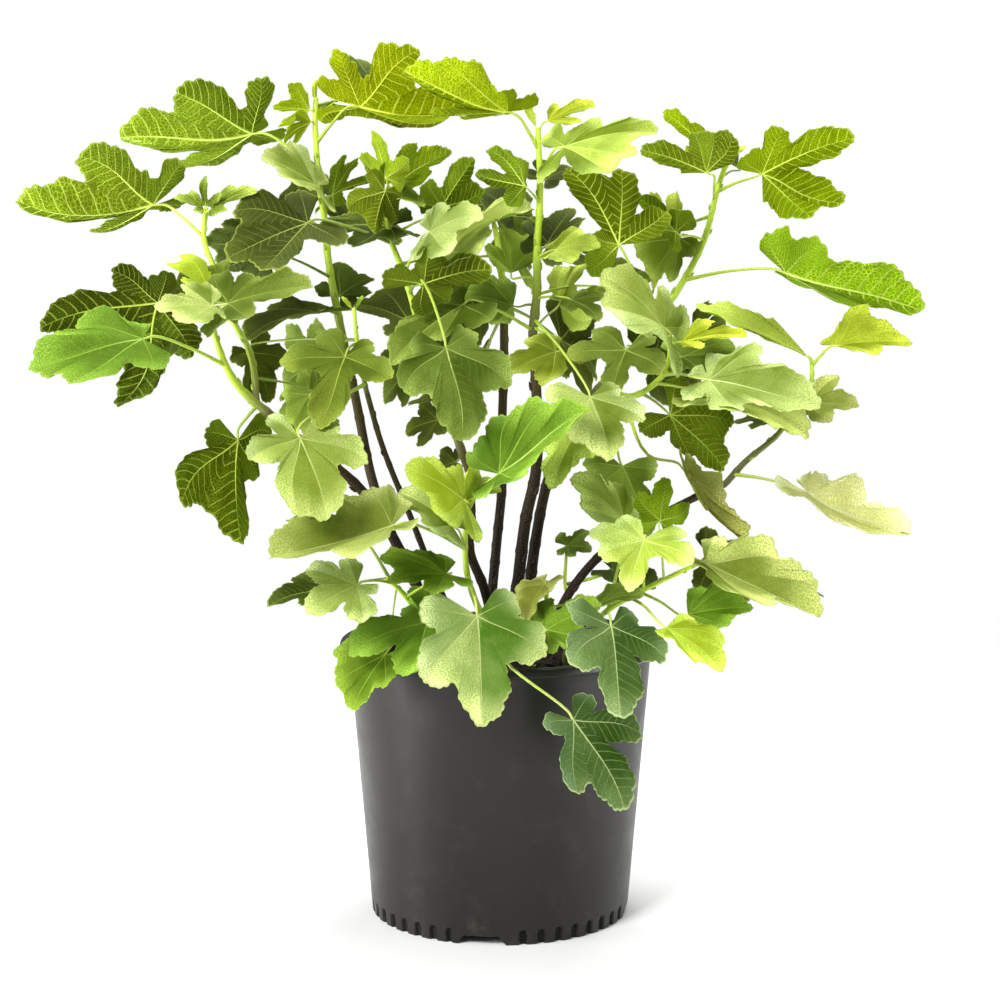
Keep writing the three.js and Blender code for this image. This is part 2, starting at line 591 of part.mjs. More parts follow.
// Outline of a blade as angle and length: the lobes joined, with a low point between neighbours
function bladeOutline(lobes, form, size, length) {
  const first = lobes[0];
  const last = lobes[lobes.length - 1];
  const width = (lobe) => form.width * (0.4 * length + 0.6 * lobe.reach);
  const floorReach = (one, two) => form.cut * Math.sqrt(one.reach * two.reach);
  const open = Math.max(first.angle - BASE_GAP_TURN, -BASE_GAP_LIMIT);
  const close = Math.min(last.angle + BASE_GAP_TURN, BASE_GAP_LIMIT);
  const gaps = [{ angle: open, reach: BASE_GAP_SHARE * first.reach }];
  for (let index = 1; index < lobes.length; index += 1) {
    const [one, two] = [lobes[index - 1], lobes[index]];
    gaps.push({ angle: (one.angle + two.angle) / 2, reach: floorReach(one, two) });
  }
  gaps.push({ angle: close, reach: BASE_GAP_SHARE * last.reach });
  const edgeAt = (angle, floor) => {
    const rays = lobes.map((lobe) => lobeRay(angle - lobe.angle, lobe.reach, width(lobe)) ** EDGE_BLEND);
    return rays.reduce((sum, ray) => sum + ray, floor ** EDGE_BLEND) ** (1 / EDGE_BLEND);
  };
  const outline = [];
  if (size === "big") {
    outline.push({ angle: gaps[0].angle, reach: edgeAt(gaps[0].angle, gaps[0].reach) });
  }
  lobes.forEach((lobe, index) => {
    const before = gaps[index];
    const after = gaps[index + 1];
    const turned = Math.abs(lobe.angle);
    const beside = Number(turned > SIDE_LOBE_ANGLE) + Number(turned > BASE_LOBE_ANGLE);
    for (const sample of LOBE_SAMPLES[size][beside]) {
      const share = Math.abs(sample);
      const turn = THREE.MathUtils.radToDeg(Math.atan2(halfWidth(share, width(lobe) / lobe.reach), share));
      const angle = lobe.angle + Math.sign(sample) * turn;
      if (angle > before.angle + 2 && angle < after.angle - 2) {
        outline.push({ angle, reach: edgeAt(angle, 0) });
      }
    }
    if (index < lobes.length - 1 || size === "big") {
      outline.push({ angle: after.angle, reach: edgeAt(after.angle, after.reach) });
    }
  });
  return outline.filter((spot, index) => index === 0 || spot.angle - outline[index - 1].angle > 1.5);
}

// Height of the blade above its flat frame: arched along, folded up at the midrib, waved edge
function bladeHeight(x, y, frame, form, phase) {
  const share = x / frame.length;
  const arch = 4 * form.arch * frame.length * share * (1 - share);
  const fold = form.fold * Math.abs(y);
  const reach = Math.hypot(x, y) / frame.length;
  const wave = 0.035 * frame.length * reach * reach * Math.sin(5 * Math.atan2(y, x) + phase);
  return arch + fold + wave;
}

// Place on a stem that is nearest to the joint in the view
function jointOn(stemLine, [across, down]) {
  let root = stemLine[0];
  let least = Infinity;
  for (const point of stemLine) {
    const [x, y] = seen(point);
    const distance = Math.hypot(x - across, y - down);
    if (distance < least) {
      least = distance;
      root = point;
    }
  }
  return root;
}

// Middle line of a petiole, from inside the stem to just before the blade
function petioleLine(leaf, frame, root) {
  const span = frame.origin.distanceTo(root);
  const entry = frame.origin.clone().addScaledVector(frame.along, -Math.min(0.1 * frame.length, 0.3 * span));
  const rise = new THREE.Vector3(0, 0, PETIOLE_RISE * span);
  const middle = leaf.via ? sight(leaf.via) : root.clone().lerp(entry, 0.5).add(rise);
  const points = span > SHORT_PETIOLE || leaf.via ? [root.clone(), middle, entry] : [root.clone(), entry];
  return smooth(points, leaf.via ? PETIOLE_ROWS : 1);
}

// Leaf as one closed solid: a blade of even thickness that is a fan from the petiole,
// and a square petiole whose last ring is the short edge where the blade starts
function leafSolid(leaf, frame, root, phase) {
  const small = frame.length < SMALL_LEAF ? "small" : "middle";
  const size = frame.length > BIG_LEAF ? "big" : small;
  const outline = bladeOutline(bladeLobes(leaf, frame), leaf.form, size, frame.length);
  const width = Math.min(PETIOLE_WIDTH, 0.03 * frame.length + 0.9);
  const flat = outline.map((spot) => {
    const turn = THREE.MathUtils.degToRad(spot.angle);
    return [spot.reach * Math.cos(turn), spot.reach * Math.sin(turn)];
  });
  const border = [[0, -width / 2], ...flat, [0, width / 2]];
  const positions = [];
  for (const lift of [0.5, -0.5]) {
    for (const [x, y] of border) {
      const height = bladeHeight(x, y, frame, leaf.form, phase) + lift * BLADE_THICKNESS;
      const point = frame.origin.clone();
      point.addScaledVector(frame.along, x);
      point.addScaledVector(frame.across, y);
      point.addScaledVector(frame.n, height);
      positions.push(point.x, point.y, point.z);
    }
  }
  const count = border.length;
  const tip = 1 + outline.findIndex((spot) => spot.angle >= 0);
  const faces = [0, tip, count - 1, count, 2 * count - 1, count + tip];
  for (let here = 1; here < count - 2; here += 1) {
    const hub = here < tip ? 0 : count - 1;
    faces.push(hub, here, here + 1);
    faces.push(count + hub, count + here + 1, count + here);
  }
  for (let here = 0; here < count - 1; here += 1) {
    faces.push(here, here + count, here + 1 + count, here, here + 1 + count, here + 1);
  }
  const line = petioleLine(leaf, frame, root);
  let side = frame.across.clone();
  let ring = [count - 1, 0, count, 2 * count - 1];
  for (let row = line.length - 1; row >= 0; row -= 1) {
    const ahead = row === line.length - 1 ? frame.origin : line[row + 1];
    const along = ahead.clone().sub(line[Math.max(row - 1, 0)]).normalize();
    side = side.clone().addScaledVector(along, -side.dot(along)).normalize();
    const other = along.clone().cross(side);
    const start = positions.length / 3;
    for (const [one, two] of [[1, 1], [-1, 1], [-1, -1], [1, -1]]) {
      const corner = line[row].clone().addScaledVector(side, (one * width) / 2);
      corner.addScaledVector(other, (two * width) / 2);
      positions.push(corner.x, corner.y, corner.z);
    }
    const behind = [start, start + 1, start + 2, start + 3];
    for (let step = 0; step < 4; step += 1) {
      const next = (step + 1) % 4;
      faces.push(behind[step], behind[next], ring[next], behind[step], ring[next], ring[step]);
    }
    ring = behind;
  }
  faces.push(ring[0], ring[2], ring[1], ring[0], ring[3], ring[2]);
  return solid(positions, faces);
}

function mesh(name, geometry, colour, roughness) {
  const material = new THREE.MeshStandardMaterial({ color: colour, roughness, metalness: 0 });
  const piece = new THREE.Mesh(geometry, material);
  piece.name = name;
  return piece;
}

function geometryOf(manifold) {
  const result = manifold.getMesh();
  const geometry = new THREE.BufferGeometry();
  geometry.setAttribute("position", new THREE.BufferAttribute(new Float32Array(result.vertProperties), 3));
  geometry.setIndex(new THREE.BufferAttribute(new Uint32Array(result.triVerts), 1));
  geometry.computeVertexNormals();
  return geometry;
}

function solidOf(geometry) {
  const bare = geometry.clone();
  bare.deleteAttribute("normal");
  bare.deleteAttribute("uv");
  const merged = mergeVertices(bare, 1e-3);
  return solid(merged.attributes.position.array, merged.index.array);
}

// Turned solid from a profile of [radius, height] pairs that starts and ends on the axis
function turned(profile, sides) {
  const geometry = new THREE.LatheGeometry(profile.map(([r, z]) => new THREE.Vector2(r, z)), sides);
  geometry.rotateX(Math.PI / 2);
  return solidOf(geometry);
}

// Radius of the outer wall of the pot at a height
function wallRadius(z) {
  return WALL_FOOT_RADIUS + ((WALL_TOP_RADIUS - WALL_FOOT_RADIUS) * z) / POT_HEIGHT;
}

function potSolid() {
  const lip = POT_HEIGHT - RIM_DROP;
  const inside = (z) => wallRadius(z) - WALL_THICKNESS;
  const profile = [
    [0, 0],
    [CENTRE_PAD_RADIUS, 0],
    [CENTRE_PAD_RADIUS + 3, FLOOR_RAISE - 3],
    [WALL_FOOT_RADIUS - FOOT_RING_WIDTH - 3, FLOOR_RAISE - 3],
    [WALL_FOOT_RADIUS - FOOT_RING_WIDTH, 0],
    [WALL_FOOT_RADIUS, 0],
    [wallRadius(lip), lip],
    [RIM_RADIUS - 1, lip - 1],
    [RIM_RADIUS, lip + 1],
    [RIM_RADIUS, POT_HEIGHT - 2],
    [RIM_RADIUS - 2, POT_HEIGHT],
    [inside(POT_HEIGHT) + 1, POT_HEIGHT],
    [inside(POT_HEIGHT - 3), POT_HEIGHT - 3],
    [inside(FLOOR_RAISE), FLOOR_RAISE],
    [0, FLOOR_RAISE],
  ];
  let pot = turned(profile, POT_SIDES);
  for (const angle of NOTCH_ANGLES) {
    const shape = new THREE.Shape();
    shape.moveTo(-NOTCH_WIDTH / 2, -4);
    shape.lineTo(-NOTCH_WIDTH / 2, 0);
    shape.lineTo(-NOTCH_WIDTH / 2 + 6, NOTCH_HEIGHT - 2);
    shape.lineTo(0, NOTCH_HEIGHT);
    shape.lineTo(NOTCH_WIDTH / 2 - 6, NOTCH_HEIGHT - 2);
    shape.lineTo(NOTCH_WIDTH / 2, 0);
    shape.lineTo(NOTCH_WIDTH / 2, -4);
    const cutter = new THREE.ExtrudeGeometry(shape, { depth: 30, bevelEnabled: false });
    cutter.rotateX(Math.PI / 2);
    cutter.translate(0, -WALL_FOOT_RADIUS + 22, 0);
    cutter.rotateZ(THREE.MathUtils.degToRad(angle + 90));
    pot = pot.subtract(solidOf(cutter));
  }
  for (let index = 0; index < DRAIN_COUNT; index += 1) {
    const angle = (2 * Math.PI * (index + 0.5)) / DRAIN_COUNT;
    const drain = new THREE.CylinderGeometry(DRAIN_RADIUS, DRAIN_RADIUS, 3 * FLOOR_RAISE, 6);
    drain.rotateX(Math.PI / 2);
    drain.translate(DRAIN_RING_RADIUS * Math.cos(angle), DRAIN_RING_RADIUS * Math.sin(angle), FLOOR_RAISE);
    pot = pot.subtract(solidOf(drain));
  }
  return pot;
}

// Soil fills the pot; every stem that rises from it stands in a plain hole
function soilSolid(feet) {
  const inside = (z) => wallRadius(z) - WALL_THICKNESS - GAP;
  let soil = turned(
    [
      [0, FLOOR_RAISE + GAP],
      [inside(FLOOR_RAISE), FLOOR_RAISE + GAP],
      [inside(SOIL_TOP), SOIL_TOP - 1],
      [0.55 * inside(SOIL_TOP), SOIL_TOP + 0.7 * SOIL_CROWN - 1],
      [0, SOIL_TOP + SOIL_CROWN],
    ],
    POT_SIDES,
  );
  for (const [x, y, radius] of feet) {
    const hole = new THREE.CylinderGeometry(radius, radius, 2 * STEM_DEPTH + 2 * GAP, 6);
    hole.rotateX(Math.PI / 2);
    hole.translate(x, y, SOIL_TOP);
    soil = soil.subtract(solidOf(hole));
  }
  return soil;
}

// Points of a stem that stands in the soil: straight in its hole, then to the picture's places
function rootedPoints([x, y], path) {
  const rises = [-STEM_DEPTH, 0, SOIL_CROWN + 5];
  const inHole = rises.map((rise) => new THREE.Vector3(x, y, SOIL_TOP + rise));
  return [...inHole, ...path.map(sight)];
}

const group = new THREE.Group();
const feet = [];

const woodEnds = {};
for (const stem of WOODY_STEMS) {
  const line = smooth(rootedPoints(stem.foot, stem.path), 1);
  const end = line[line.length - 1];
  const back = line[line.length - 2].clone().sub(end).normalize();
  woodEnds[stem.name] = back.clone();
  end.addScaledVector(back, GAP);
  const wood = tube(line, blend(stem.radii[0], stem.radii[1], line.length), 6);
  feet.push([...stem.foot, stem.radii[0] + HOLE_PLAY]);
  group.add(mesh(stem.name, geometryOf(wood), COLOURS.wood, 0.8));
}

SHOOTS.forEach((shoot, order) => {
  const bodies = [];
  let stemLine = [];
  shoot.stems.forEach((path, index) => {
    const rooted = index === 0 && shoot.foot;
    const points = rooted ? rootedPoints(shoot.foot, path) : path.map(sight);
    const line = smooth(points, points.length > 4 ? 1 : 2);
    if (index === 0 && shoot.wood) {
      line.splice(1, 0, line[0].clone().addScaledVector(woodEnds[shoot.wood], -BUTT_LENGTH));
    }
    const thick = index === 0 ? shoot.radii[0] : 0.8 * shoot.radii[0];
    bodies.push(tube(line, blend(thick, shoot.radii[1], line.length), 5));
    stemLine = stemLine.concat(smooth(path.map(sight), 12));
  });
  if (shoot.foot) {
    feet.push([...shoot.foot, shoot.radii[0] + HOLE_PLAY]);
  }
  shoot.leaves.forEach((leaf, index) => {
    const frame = bladeFrame(leaf);
    bodies.push(leafSolid(leaf, frame, jointOn(stemLine, leaf.joint), 1.7 * index + order));
  });
  const fused = wasm.Manifold.union(bodies);
  group.add(mesh(shoot.name, geometryOf(fused), COLOURS.leaf, 0.6));
});

group.add(mesh("pot", geometryOf(potSolid()), COLOURS.pot, 0.55));
group.add(mesh("soil", geometryOf(soilSolid(feet)), COLOURS.soil, 0.95));

export default group;
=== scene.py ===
# Potted brown turkey fig: fine leaves, stems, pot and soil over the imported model.
# Metres, +Z up, the photograph's side is -Y. Sizes and places below are in millimetres.
import math
import random

import bmesh
import bpy
import numpy as np
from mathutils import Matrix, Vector


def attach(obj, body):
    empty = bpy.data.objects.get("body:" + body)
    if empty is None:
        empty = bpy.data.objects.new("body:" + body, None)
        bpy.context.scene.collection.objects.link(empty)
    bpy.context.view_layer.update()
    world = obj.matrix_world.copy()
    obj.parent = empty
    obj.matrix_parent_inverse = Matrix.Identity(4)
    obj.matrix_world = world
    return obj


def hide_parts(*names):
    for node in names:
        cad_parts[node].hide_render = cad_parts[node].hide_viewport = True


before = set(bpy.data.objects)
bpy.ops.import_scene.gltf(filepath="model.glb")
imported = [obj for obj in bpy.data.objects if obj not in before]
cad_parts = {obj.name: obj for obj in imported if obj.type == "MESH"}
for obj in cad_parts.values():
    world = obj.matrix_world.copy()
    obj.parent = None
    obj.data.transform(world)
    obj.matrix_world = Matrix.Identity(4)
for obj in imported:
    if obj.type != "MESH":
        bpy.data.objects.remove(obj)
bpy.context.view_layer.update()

MILLIMETRE = 0.001
SEED = 20

# The view that places are read from: a camera 1.9 m in front, tilted slightly down.
# A place on a leaf or stem is [across, down, depth]: two picture units and the real y.
EYE = np.array([0.0, -1900.0, 600.0])
EYE_TILT = math.radians(7.1)
EYE_REACH = 2200
PICTURE_MIDDLE = 500
LENS = 79.2
SENSOR_WIDTH = 36
FORWARD = np.array([0.0, math.cos(EYE_TILT), -math.sin(EYE_TILT)])
UPWARD = np.array([0.0, math.sin(EYE_TILT), math.cos(EYE_TILT)])

# Pot
POT_HEIGHT = 241
RIM_RADIUS = 140
RIM_DROP = 8
WALL_TOP_RADIUS = 133
WALL_FOOT_RADIUS = 113
WALL_THICKNESS = 2.4
FLOOR_RAISE = 9
CENTRE_PAD_RADIUS = 52
FOOT_RING_WIDTH = 9
NOTCH_WIDTH = 42
NOTCH_HEIGHT = 8
NOTCH_ANGLES = [-98, -8, 82, 172]
NOTCH_CLEAR = 5
NOTCH_RAMP = 6
NOTCH_ZONE = 12
DRAIN_RADIUS = 7
DRAIN_RING_RADIUS = 78
DRAIN_COUNT = 6
POT_COLUMNS = 720
FLUTE_COUNT = 45
FLUTE_HALF_WIDTH = 3.1
FLUTE_HEIGHT = 13
FLUTE_DEPTH = 2.6
FLUTE_REACH = 1.15
FLUTE_STEEPNESS = 2.5
FLUTE_ZONE = 30
PAD_MIDDLE_RADIUS = 20
DRAIN_INNER_RADIUS = 66
DRAIN_OUTER_RADIUS = 90

# Soil
SOIL_TOP = 228
SOIL_CROWN = 5
SOIL_COLUMNS = 160
SOIL_ROWS = 44
STEM_DEPTH = 14
STRAIGHT_RISE = 5
GAP = 0.3
SOIL_BODY, BARK_CHIPS, PERLITE = range(3)

# Crumbs on the soil: count, sizes, how much they are squashed, slot of their material and tints
CRUMBS = [
    (620, (2.0, 5.5), (0.35, 0.8), BARK_CHIPS, ["#2B1E16", "#3A281B", "#4B3422", "#1E1613"]),
    (700, (1.0, 2.2), (0.5, 1.0), SOIL_BODY, ["#241A14", "#33251B", "#18110E"]),
    (85, (1.0, 2.3), (0.7, 1.0), PERLITE, ["#D9D5CB", "#C4BFB2", "#EFEDE6"]),
]

# Sides of the round tubes
WOOD_SIDES = 16
GREEN_SIDES = 12
PETIOLE_SIDES = 8
BUD_SIDES = 7
RIB_SIDES = 6

# Stems: spacing of the points along them, then pitch, swelling and reach of the nodes
STEM_STEP = 3.0
WOOD_PITCH = (24, 34)
NODE_PITCH = 21
WOOD_SWELL = 0.13
GREEN_SWELL = 0.16
NODE_REACH = 2.2
WOOD_FIRST_BUD = (35, 50)
GREEN_FIRST_BUD = 12
BUD_END = 6
BUTT_LENGTH = 3
SIDE_STEM_SHARE = 0.8
WOOD_COLOURS = [[0, "#170F08"], [0.45, "#22180D"], [0.8, "#352A15"], [1, "#4B4720"]]
GREEN_COLOURS = ["#4B4720", "#6E7A1E", "#9BB524", "#BDD936"]

# Bud in stem radii: place out from the stem, place along it, thickness
BUD_SHAPE = [(0.4, -0.3, 0.3), (0.95, 0.6, 0.46), (1.15, 1.6, 0.34), (1.35, 2.6, 0.06)]
BUD_STRETCH = 0.75

# Petioles
PETIOLE_WIDTH = 2.6
SHORT_PETIOLE = 28
PETIOLE_RISE = 0.03
# Green of a petiole at the stem: lit, then a darker copy painted as shade for leaves in shaded tones
PETIOLE_LIT = "#9DB62A"
PETIOLE_SHADED = "#6E8522"

# Outline of a blade: lobes stand some degrees apart, and the edge beside the petiole stays open
DEFAULT_LOBE_CLEAR = 33
BASE_LOBE_ANGLE = 90
BASE_LOBE_CLEAR = 25
LOBE_APART = 14
LOBE_LIMIT = 1.1
BASE_GAP_TURN = 32
BASE_GAP_LIMIT = 168
BASE_GAP_SHARE = 0.45
ROUND_START = 0.62
ROUND_POWER = 0.62
LOBE_TAPER = 0.7
LOBE_WIDTH_PLAY = (0.9, 1.12)
EDGE_BLEND = 10
EDGE_STEPS = 60
RAY_STEPS = 80

# Scallops of the edge: pitch and height in blade lengths, the part of a scallop that is cut in,
# how much their pitch drifts, and the stretch beside the petiole where they fade
SCALLOPS = [(0.25, 0.03), (0.085, 0.02)]
SCALLOP_CUT = 0.65
SCALLOP_DRIFT = 0.3
DRIFT_PITCH = 1.9
SCALLOP_FADE = 0.12

# Detail of long, middling and short blades: spacing of the outline in blade lengths, and rows of points
BIG_LEAF = 95
SMALL_LEAF = 48
BLADE_DETAIL = {"big": (0.019, 10), "middle": (0.026, 8), "small": (0.045, 6)}

# Shape of a blade: thickness in millimetres, heights and pitches in blade lengths, angles in degrees,
# and the share of cup and droop that the middle lobe has
BLADE_THICKNESS = 0.5
EDGE_THINNING = 0.2
ROW_SPREAD = 0.85
WAVE_HEIGHT = 0.035
WAVE_COUNT = 5
WAVE_SHIFT = 1.7
RIPPLE_HEIGHT = 0.014
RIPPLE_PITCH = 0.31
LOBE_CUP = 0.14
LOBE_DROOP = (-0.03, 0.07)
LOBE_SWING = 5
LOBE_LEAN = 6
MIDDLE_CALM = 0.5

# Raised ribs: how far they reach and how thick they are in lobe lengths, and how deep in millimetres
RIB_REACH = 0.86
RIB_RADIUS = 0.0075
RIB_TAPER = 0.88
RIB_POINTS = 9
RIB_DEPTH = 0.25

# Slots of the materials on a shoot
UPPER_SIDE, LOWER_SIDE, GREEN_STEM = range(3)

# Leaf forms: length of the blade between its lobes, width of a lobe, default lobes, arch and fold
BROAD = {"cut": 0.45, "width": 0.51, "spread": [[48, 0.8], [108, 0.55]], "arch": 0.05, "fold": 0.2}
DEEP = {"cut": 0.38, "width": 0.39, "spread": [[50, 0.75], [108, 0.5]], "arch": 0.05, "fold": 0.15}
KEEL = {"cut": 0.37, "width": 0.35, "spread": [[50, 0.7], [108, 0.45]], "arch": -0.12, "fold": 0.8}
CUPPED = {"cut": 0.74, "width": 0.42, "spread": [[48, 0.75], [95, 0.35]], "arch": -0.03, "fold": 0.7}
OVAL = {"cut": 0.75, "width": 0.42, "spread": [[26, 0.8], [64, 0.45]], "arch": 0.06, "fold": 0.25}
ENTIRE = {"cut": 0.8, "width": 0.7, "spread": [[55, 0.7], [115, 0.45]], "arch": 0.08, "fold": 0.2}
YOUNG = {"cut": 0.3, "width": 0.34, "spread": [[42, 0.65]], "arch": 0.05, "fold": 0.25}
SPARE = {"cut": 0.4, "width": 0.44, "spread": [], "arch": 0.05, "fold": 0.2}
BUD = {"cut": 0.3, "width": 0.45, "spread": [], "arch": 0.02, "fold": 0.2}

# Leaf tones: blade and rib colour of the side that the photograph shows, then of the other side
# A leaf's tone carries painted light and shade besides its own colour: the deep, shade, lace_dark and
# lace_deep tones are darker copies painted as the shade inside the bush, and the glow tone is a brighter
# copy painted as light shining through.
TONES = {
    "lace": ["#637508", "#D9ED68", "#66881E", "#ACC763"],
    "lace_dark": ["#465406", "#B4C84A", "#4A6416", "#8FAA50"],
    "lace_deep": ["#334004", "#A8BE44", "#4A6416", "#8FAA50"],
    "glow": ["#8C9D00", "#DBE851", "#83A420", "#C2D968"],
    "lime": ["#B8CC16", "#EFF872", "#AEC628", "#E0EE70"],
    "light": ["#C1D53B", "#F2F698", "#ACC84A", "#E2F080"],
    "pale": ["#8FA324", "#DAE387", "#86A034", "#CADB78"],
    "grass": ["#4C7006", "#A8C84C", "#66801E", "#B4C864"],
    "fresh": ["#75950A", "#CBDB60", "#809E24", "#C6DA66"],
    "mid": ["#758B0A", "#CEDD66", "#6C8A28", "#B8CC64"],
    "grey": ["#849B29", "#DBE28E", "#7A9440", "#C4D480"],
    "moss": ["#4B610D", "#A9B85D", "#64802C", "#B4C870"],
    "hero": ["#56900C", "#E4F0A0", "#66883A", "#BCD27C"],
    "blue": ["#3A5C18", "#D0E0A0", "#66883A", "#BCD27C"],
    "shade": ["#586E0A", "#BACC58", "#546E1C", "#9CB45A"],
    "straw": ["#EAED89", "#F7F7CC", "#98A64A", "#CDD890"],
    "olive": ["#78801E", "#BCBE6A", "#6E752A", "#A8AC58"],
    "deep": ["#2E3A05", "#A4B454", "#3E5212", "#84983E"],
}
# Tones painted as shade, whose petioles get the shaded green
SHADED_TONES = ("deep", "shade", "lace_dark")
LIGHT_PLAY = (0.9, 1.12)
WARM_PLAY = (-0.06, 0.06)

# Film that turns the fields between ribs cooler, where they are more than COOL_ANGLE degrees from the
# middle rib. The middle of the field beyond the last rib is OUTER_FIELD degrees from it.
COOL_FILM = (0.8, 0.95, 2.4, 1.0)
COOL_ANGLE = 60
OUTER_FIELD = 30

# Tones whose leaves are painted lit on one side of the middle rib and painted shaded on the other,
# -1 where the lit side is the one with the lower angles, and tones with more of the cool film
LIT_HALVES = {"hero": -1, "blue": -1}
COOL_LOBES = {"hero": 0.1, "blue": 0.25}

# Skin of the two sides of a leaf. Four numbers are a value that goes from the third to the fourth
# while the lightness of the blade goes from the first to the second. The two numbers of the rim are
# its gain where the blade is pale and its strength elsewhere.
# The sectors, patches, dark and light values paint light and shade on the blade; the rim is a pale margin
# with a painted highlight.
UPPER_SKIN = {
    "rib_width": 0.0076,
    "sectors": 0.8,
    "patches": 0.28,
    "tips": 0.8,
    "pale": (0.04, 0.11, 0.12, 0.6),
    "dark": 0.74,
    "light": 0.46,
    "grain": 0.05,
    "main_rib": 0.95,
    "side_ribs": (0.03, 0.1, 0.32, 0.06),
    "net": (0.1, 0.3, 0.1, 0.1),
    "fine_net": 0.08,
    "rim": (0.55, 0.15),
    "roughness": 0.62,
    "specular": 0.08,
    "relief": -1.0,
}
UNDER_SKIN = {
    "rib_width": 0.0095,
    "sectors": 0.85,
    "patches": 0.25,
    "tips": 0.0,
    "pale": (0.1, 0.3, 0.08, 0.08),
    "dark": 0.52,
    "light": 0.7,
    "grain": 0.06,
    "main_rib": 0.97,
    "side_ribs": (0.1, 0.3, 0.9, 0.9),
    "net": (0.1, 0.3, 1.5, 0.45),
    "fine_net": 0.4,
    "rim": (0.0, 0.3),
    "roughness": 0.8,
    "specular": 0.04,
    "relief": 1.0,
}


# at: where the petiole meets the blade; tip: tip of the middle lobe;
# joint: place on the stem where the petiole grows; lobes: tips of the other lobes that show;
# open_share: how squarely the blade faces the view, 1 for full on;
# side: 1 where the view shows the upper side, -1 where it shows the lower one
def upper(at, tip, joint, lobes, open_share, form, tone, via=None, side=1):
    leaf = {"at": at, "tip": tip, "joint": joint, "lobes": lobes, "open": open_share}
    return {**leaf, "form": form, "tone": tone, "via": via, "side": side}


def under(*places_and_looks):
    return {**upper(*places_and_looks), "side": -1}


def hidden(at, tip, joint, tone="deep"):
    """Broad leaf with default lobes, mostly behind others, by default in the deep tone that paints the shade
    there.
    """
    return upper(at, tip, joint, [], 0.7, BROAD, tone)


def leafy_shoot(name, leaves, radii, stems, foot=None, wood=None, ripe=0.14):
    """Shoot whose first stem stands in the soil at its foot or on the end of a woody stem."""
    shoot = {"name": name, "leaves": leaves, "radii": radii, "stems": stems}
    return {**shoot, "foot": foot, "wood": wood, "ripe": ripe}


# Woody stems: name, foot on the soil in millimetres, radii at the two ends,
# then places up to where the green wood starts
WOODY_STEMS = [
    ("wood_tall_left", [-38, -10], [4.8, 3.9],
     [[425, 600, -10], [406, 566, -8], [374, 486, 5], [358, 410, 15], [352, 380, 20]]),
    ("wood_thin_left", [-26, -35], [3, 2.3],
     [[440, 590, -38], [413, 523, -44], [382, 445, -52], [367, 393, -57]]),
    ("wood_middle_left", [-4, 12], [4.4, 3.8],
     [[484, 588, 6], [470, 551, 2], [471, 508, -2], [470, 475, -5], [462, 452, -8]]),
    ("wood_back", [-10, 44], [4.6, 3.8],
     [[497, 540, 52], [502, 486, 58], [502, 430, 64], [504, 360, 72], [504, 317, 78]]),
    ("wood_middle", [11, -6], [5.8, 4.2],
     [[518, 584, -8], [526, 518, -10], [536, 471, -12], [537, 410, -14], [533, 334, -17]]),
    ("wood_right", [24, 9], [5.4, 4],
     [[530, 584, 8], [543, 500, 9], [553, 466, 10], [590, 400, 12]]),
    ("wood_far_right", [40, -24], [4.4, 3],
     [[570, 592, -28], [612, 545, -35], [690, 500, -45], [721, 486, -48]]),
    ("wood_far_left", [-55, -38], [4.8, 3.8],
     [[428, 615, -46], [410, 570, -55], [363, 492, -70], [300, 440, -84], [268, 413, -90]]),
]

# Leaves of each shoot
TALL_LEFT_LEAVES = [
    under([252, 134, 60], [120, 138, 62], [313, 165], [[175, 79], [259, 75], [176, 158], [268, 130]],
          0.78, KEEL, "lace"),
    under([360, 107, 78], [482, 104, 122], [321, 142], [[414, 43], [341, 56], [447, 116], [322, 100]],
          0.78, KEEL, "glow"),
    under([310, 110, 76], [273, 106, 52], [315, 120], [[289, 86], [278, 126]], 0.8, YOUNG, "lime"),
    under([311, 122, 72], [283, 142, 44], [316, 126], [], 0.6, YOUNG, "lime"),
    upper([316, 102, 82], [316, 80, 86], [316, 106], [], 0.5, BUD, "glow"),
    upper([320, 110, 86], [335, 101, 98], [316, 114], [], 0.6, BUD, "lime"),
    upper([316, 186, 46], [262, 155, 12], [319, 190], [[285, 146], [280, 178]], 0.5, BROAD, "grey"),
    under([332, 195, 78], [376, 178, 112], [322, 205], [[342, 153], [344, 206]], 0.5, DEEP, "lace"),
    upper([262, 250, -10], [203, 243, -40], [331, 280], [[222, 224], [215, 268], [255, 278]],
          0.7, BROAD, "deep"),
    upper([318, 313, 10], [246, 340, -25], [337, 312], [], 0.25, ENTIRE, "deep"),
    upper([340, 296, 75], [372, 276, 105], [337, 314], [[345, 264], [372, 292]], 0.7, BROAD, "deep"),
    hidden([315, 365, 100], [282, 392, 160], [347, 372], "moss"),
    hidden([300, 218, 118], [262, 226, 190], [322, 235]),
    hidden([362, 228, 130], [376, 222, 205], [324, 228]),
    upper([382, 96, 140], [405, 90, 215], [316, 106], [], 0.6, BROAD, "deep"),
]
THIN_LEFT_LEAVES = [
    upper([352, 309, -62], [341, 297, -62], [354, 315], [], 0.6, BUD, "lime"),
    upper([356, 308, -62], [364, 296, -62], [354, 313], [], 0.6, BUD, "grass"),
    upper([345, 357, -112], [318, 428, -150], [358, 343], [[280, 365], [320, 325], [391, 377], [374, 341]],
          0.95, BROAD, "shade"),
    upper([300, 438, -150], [326, 520, -190], [366, 386],
          [[248, 462], [268, 413], [367, 463], [340, 420], [298, 510]], 0.95, BROAD, "pale"),
    hidden([250, 352, 20], [270, 402, 40], [357, 342]),
]
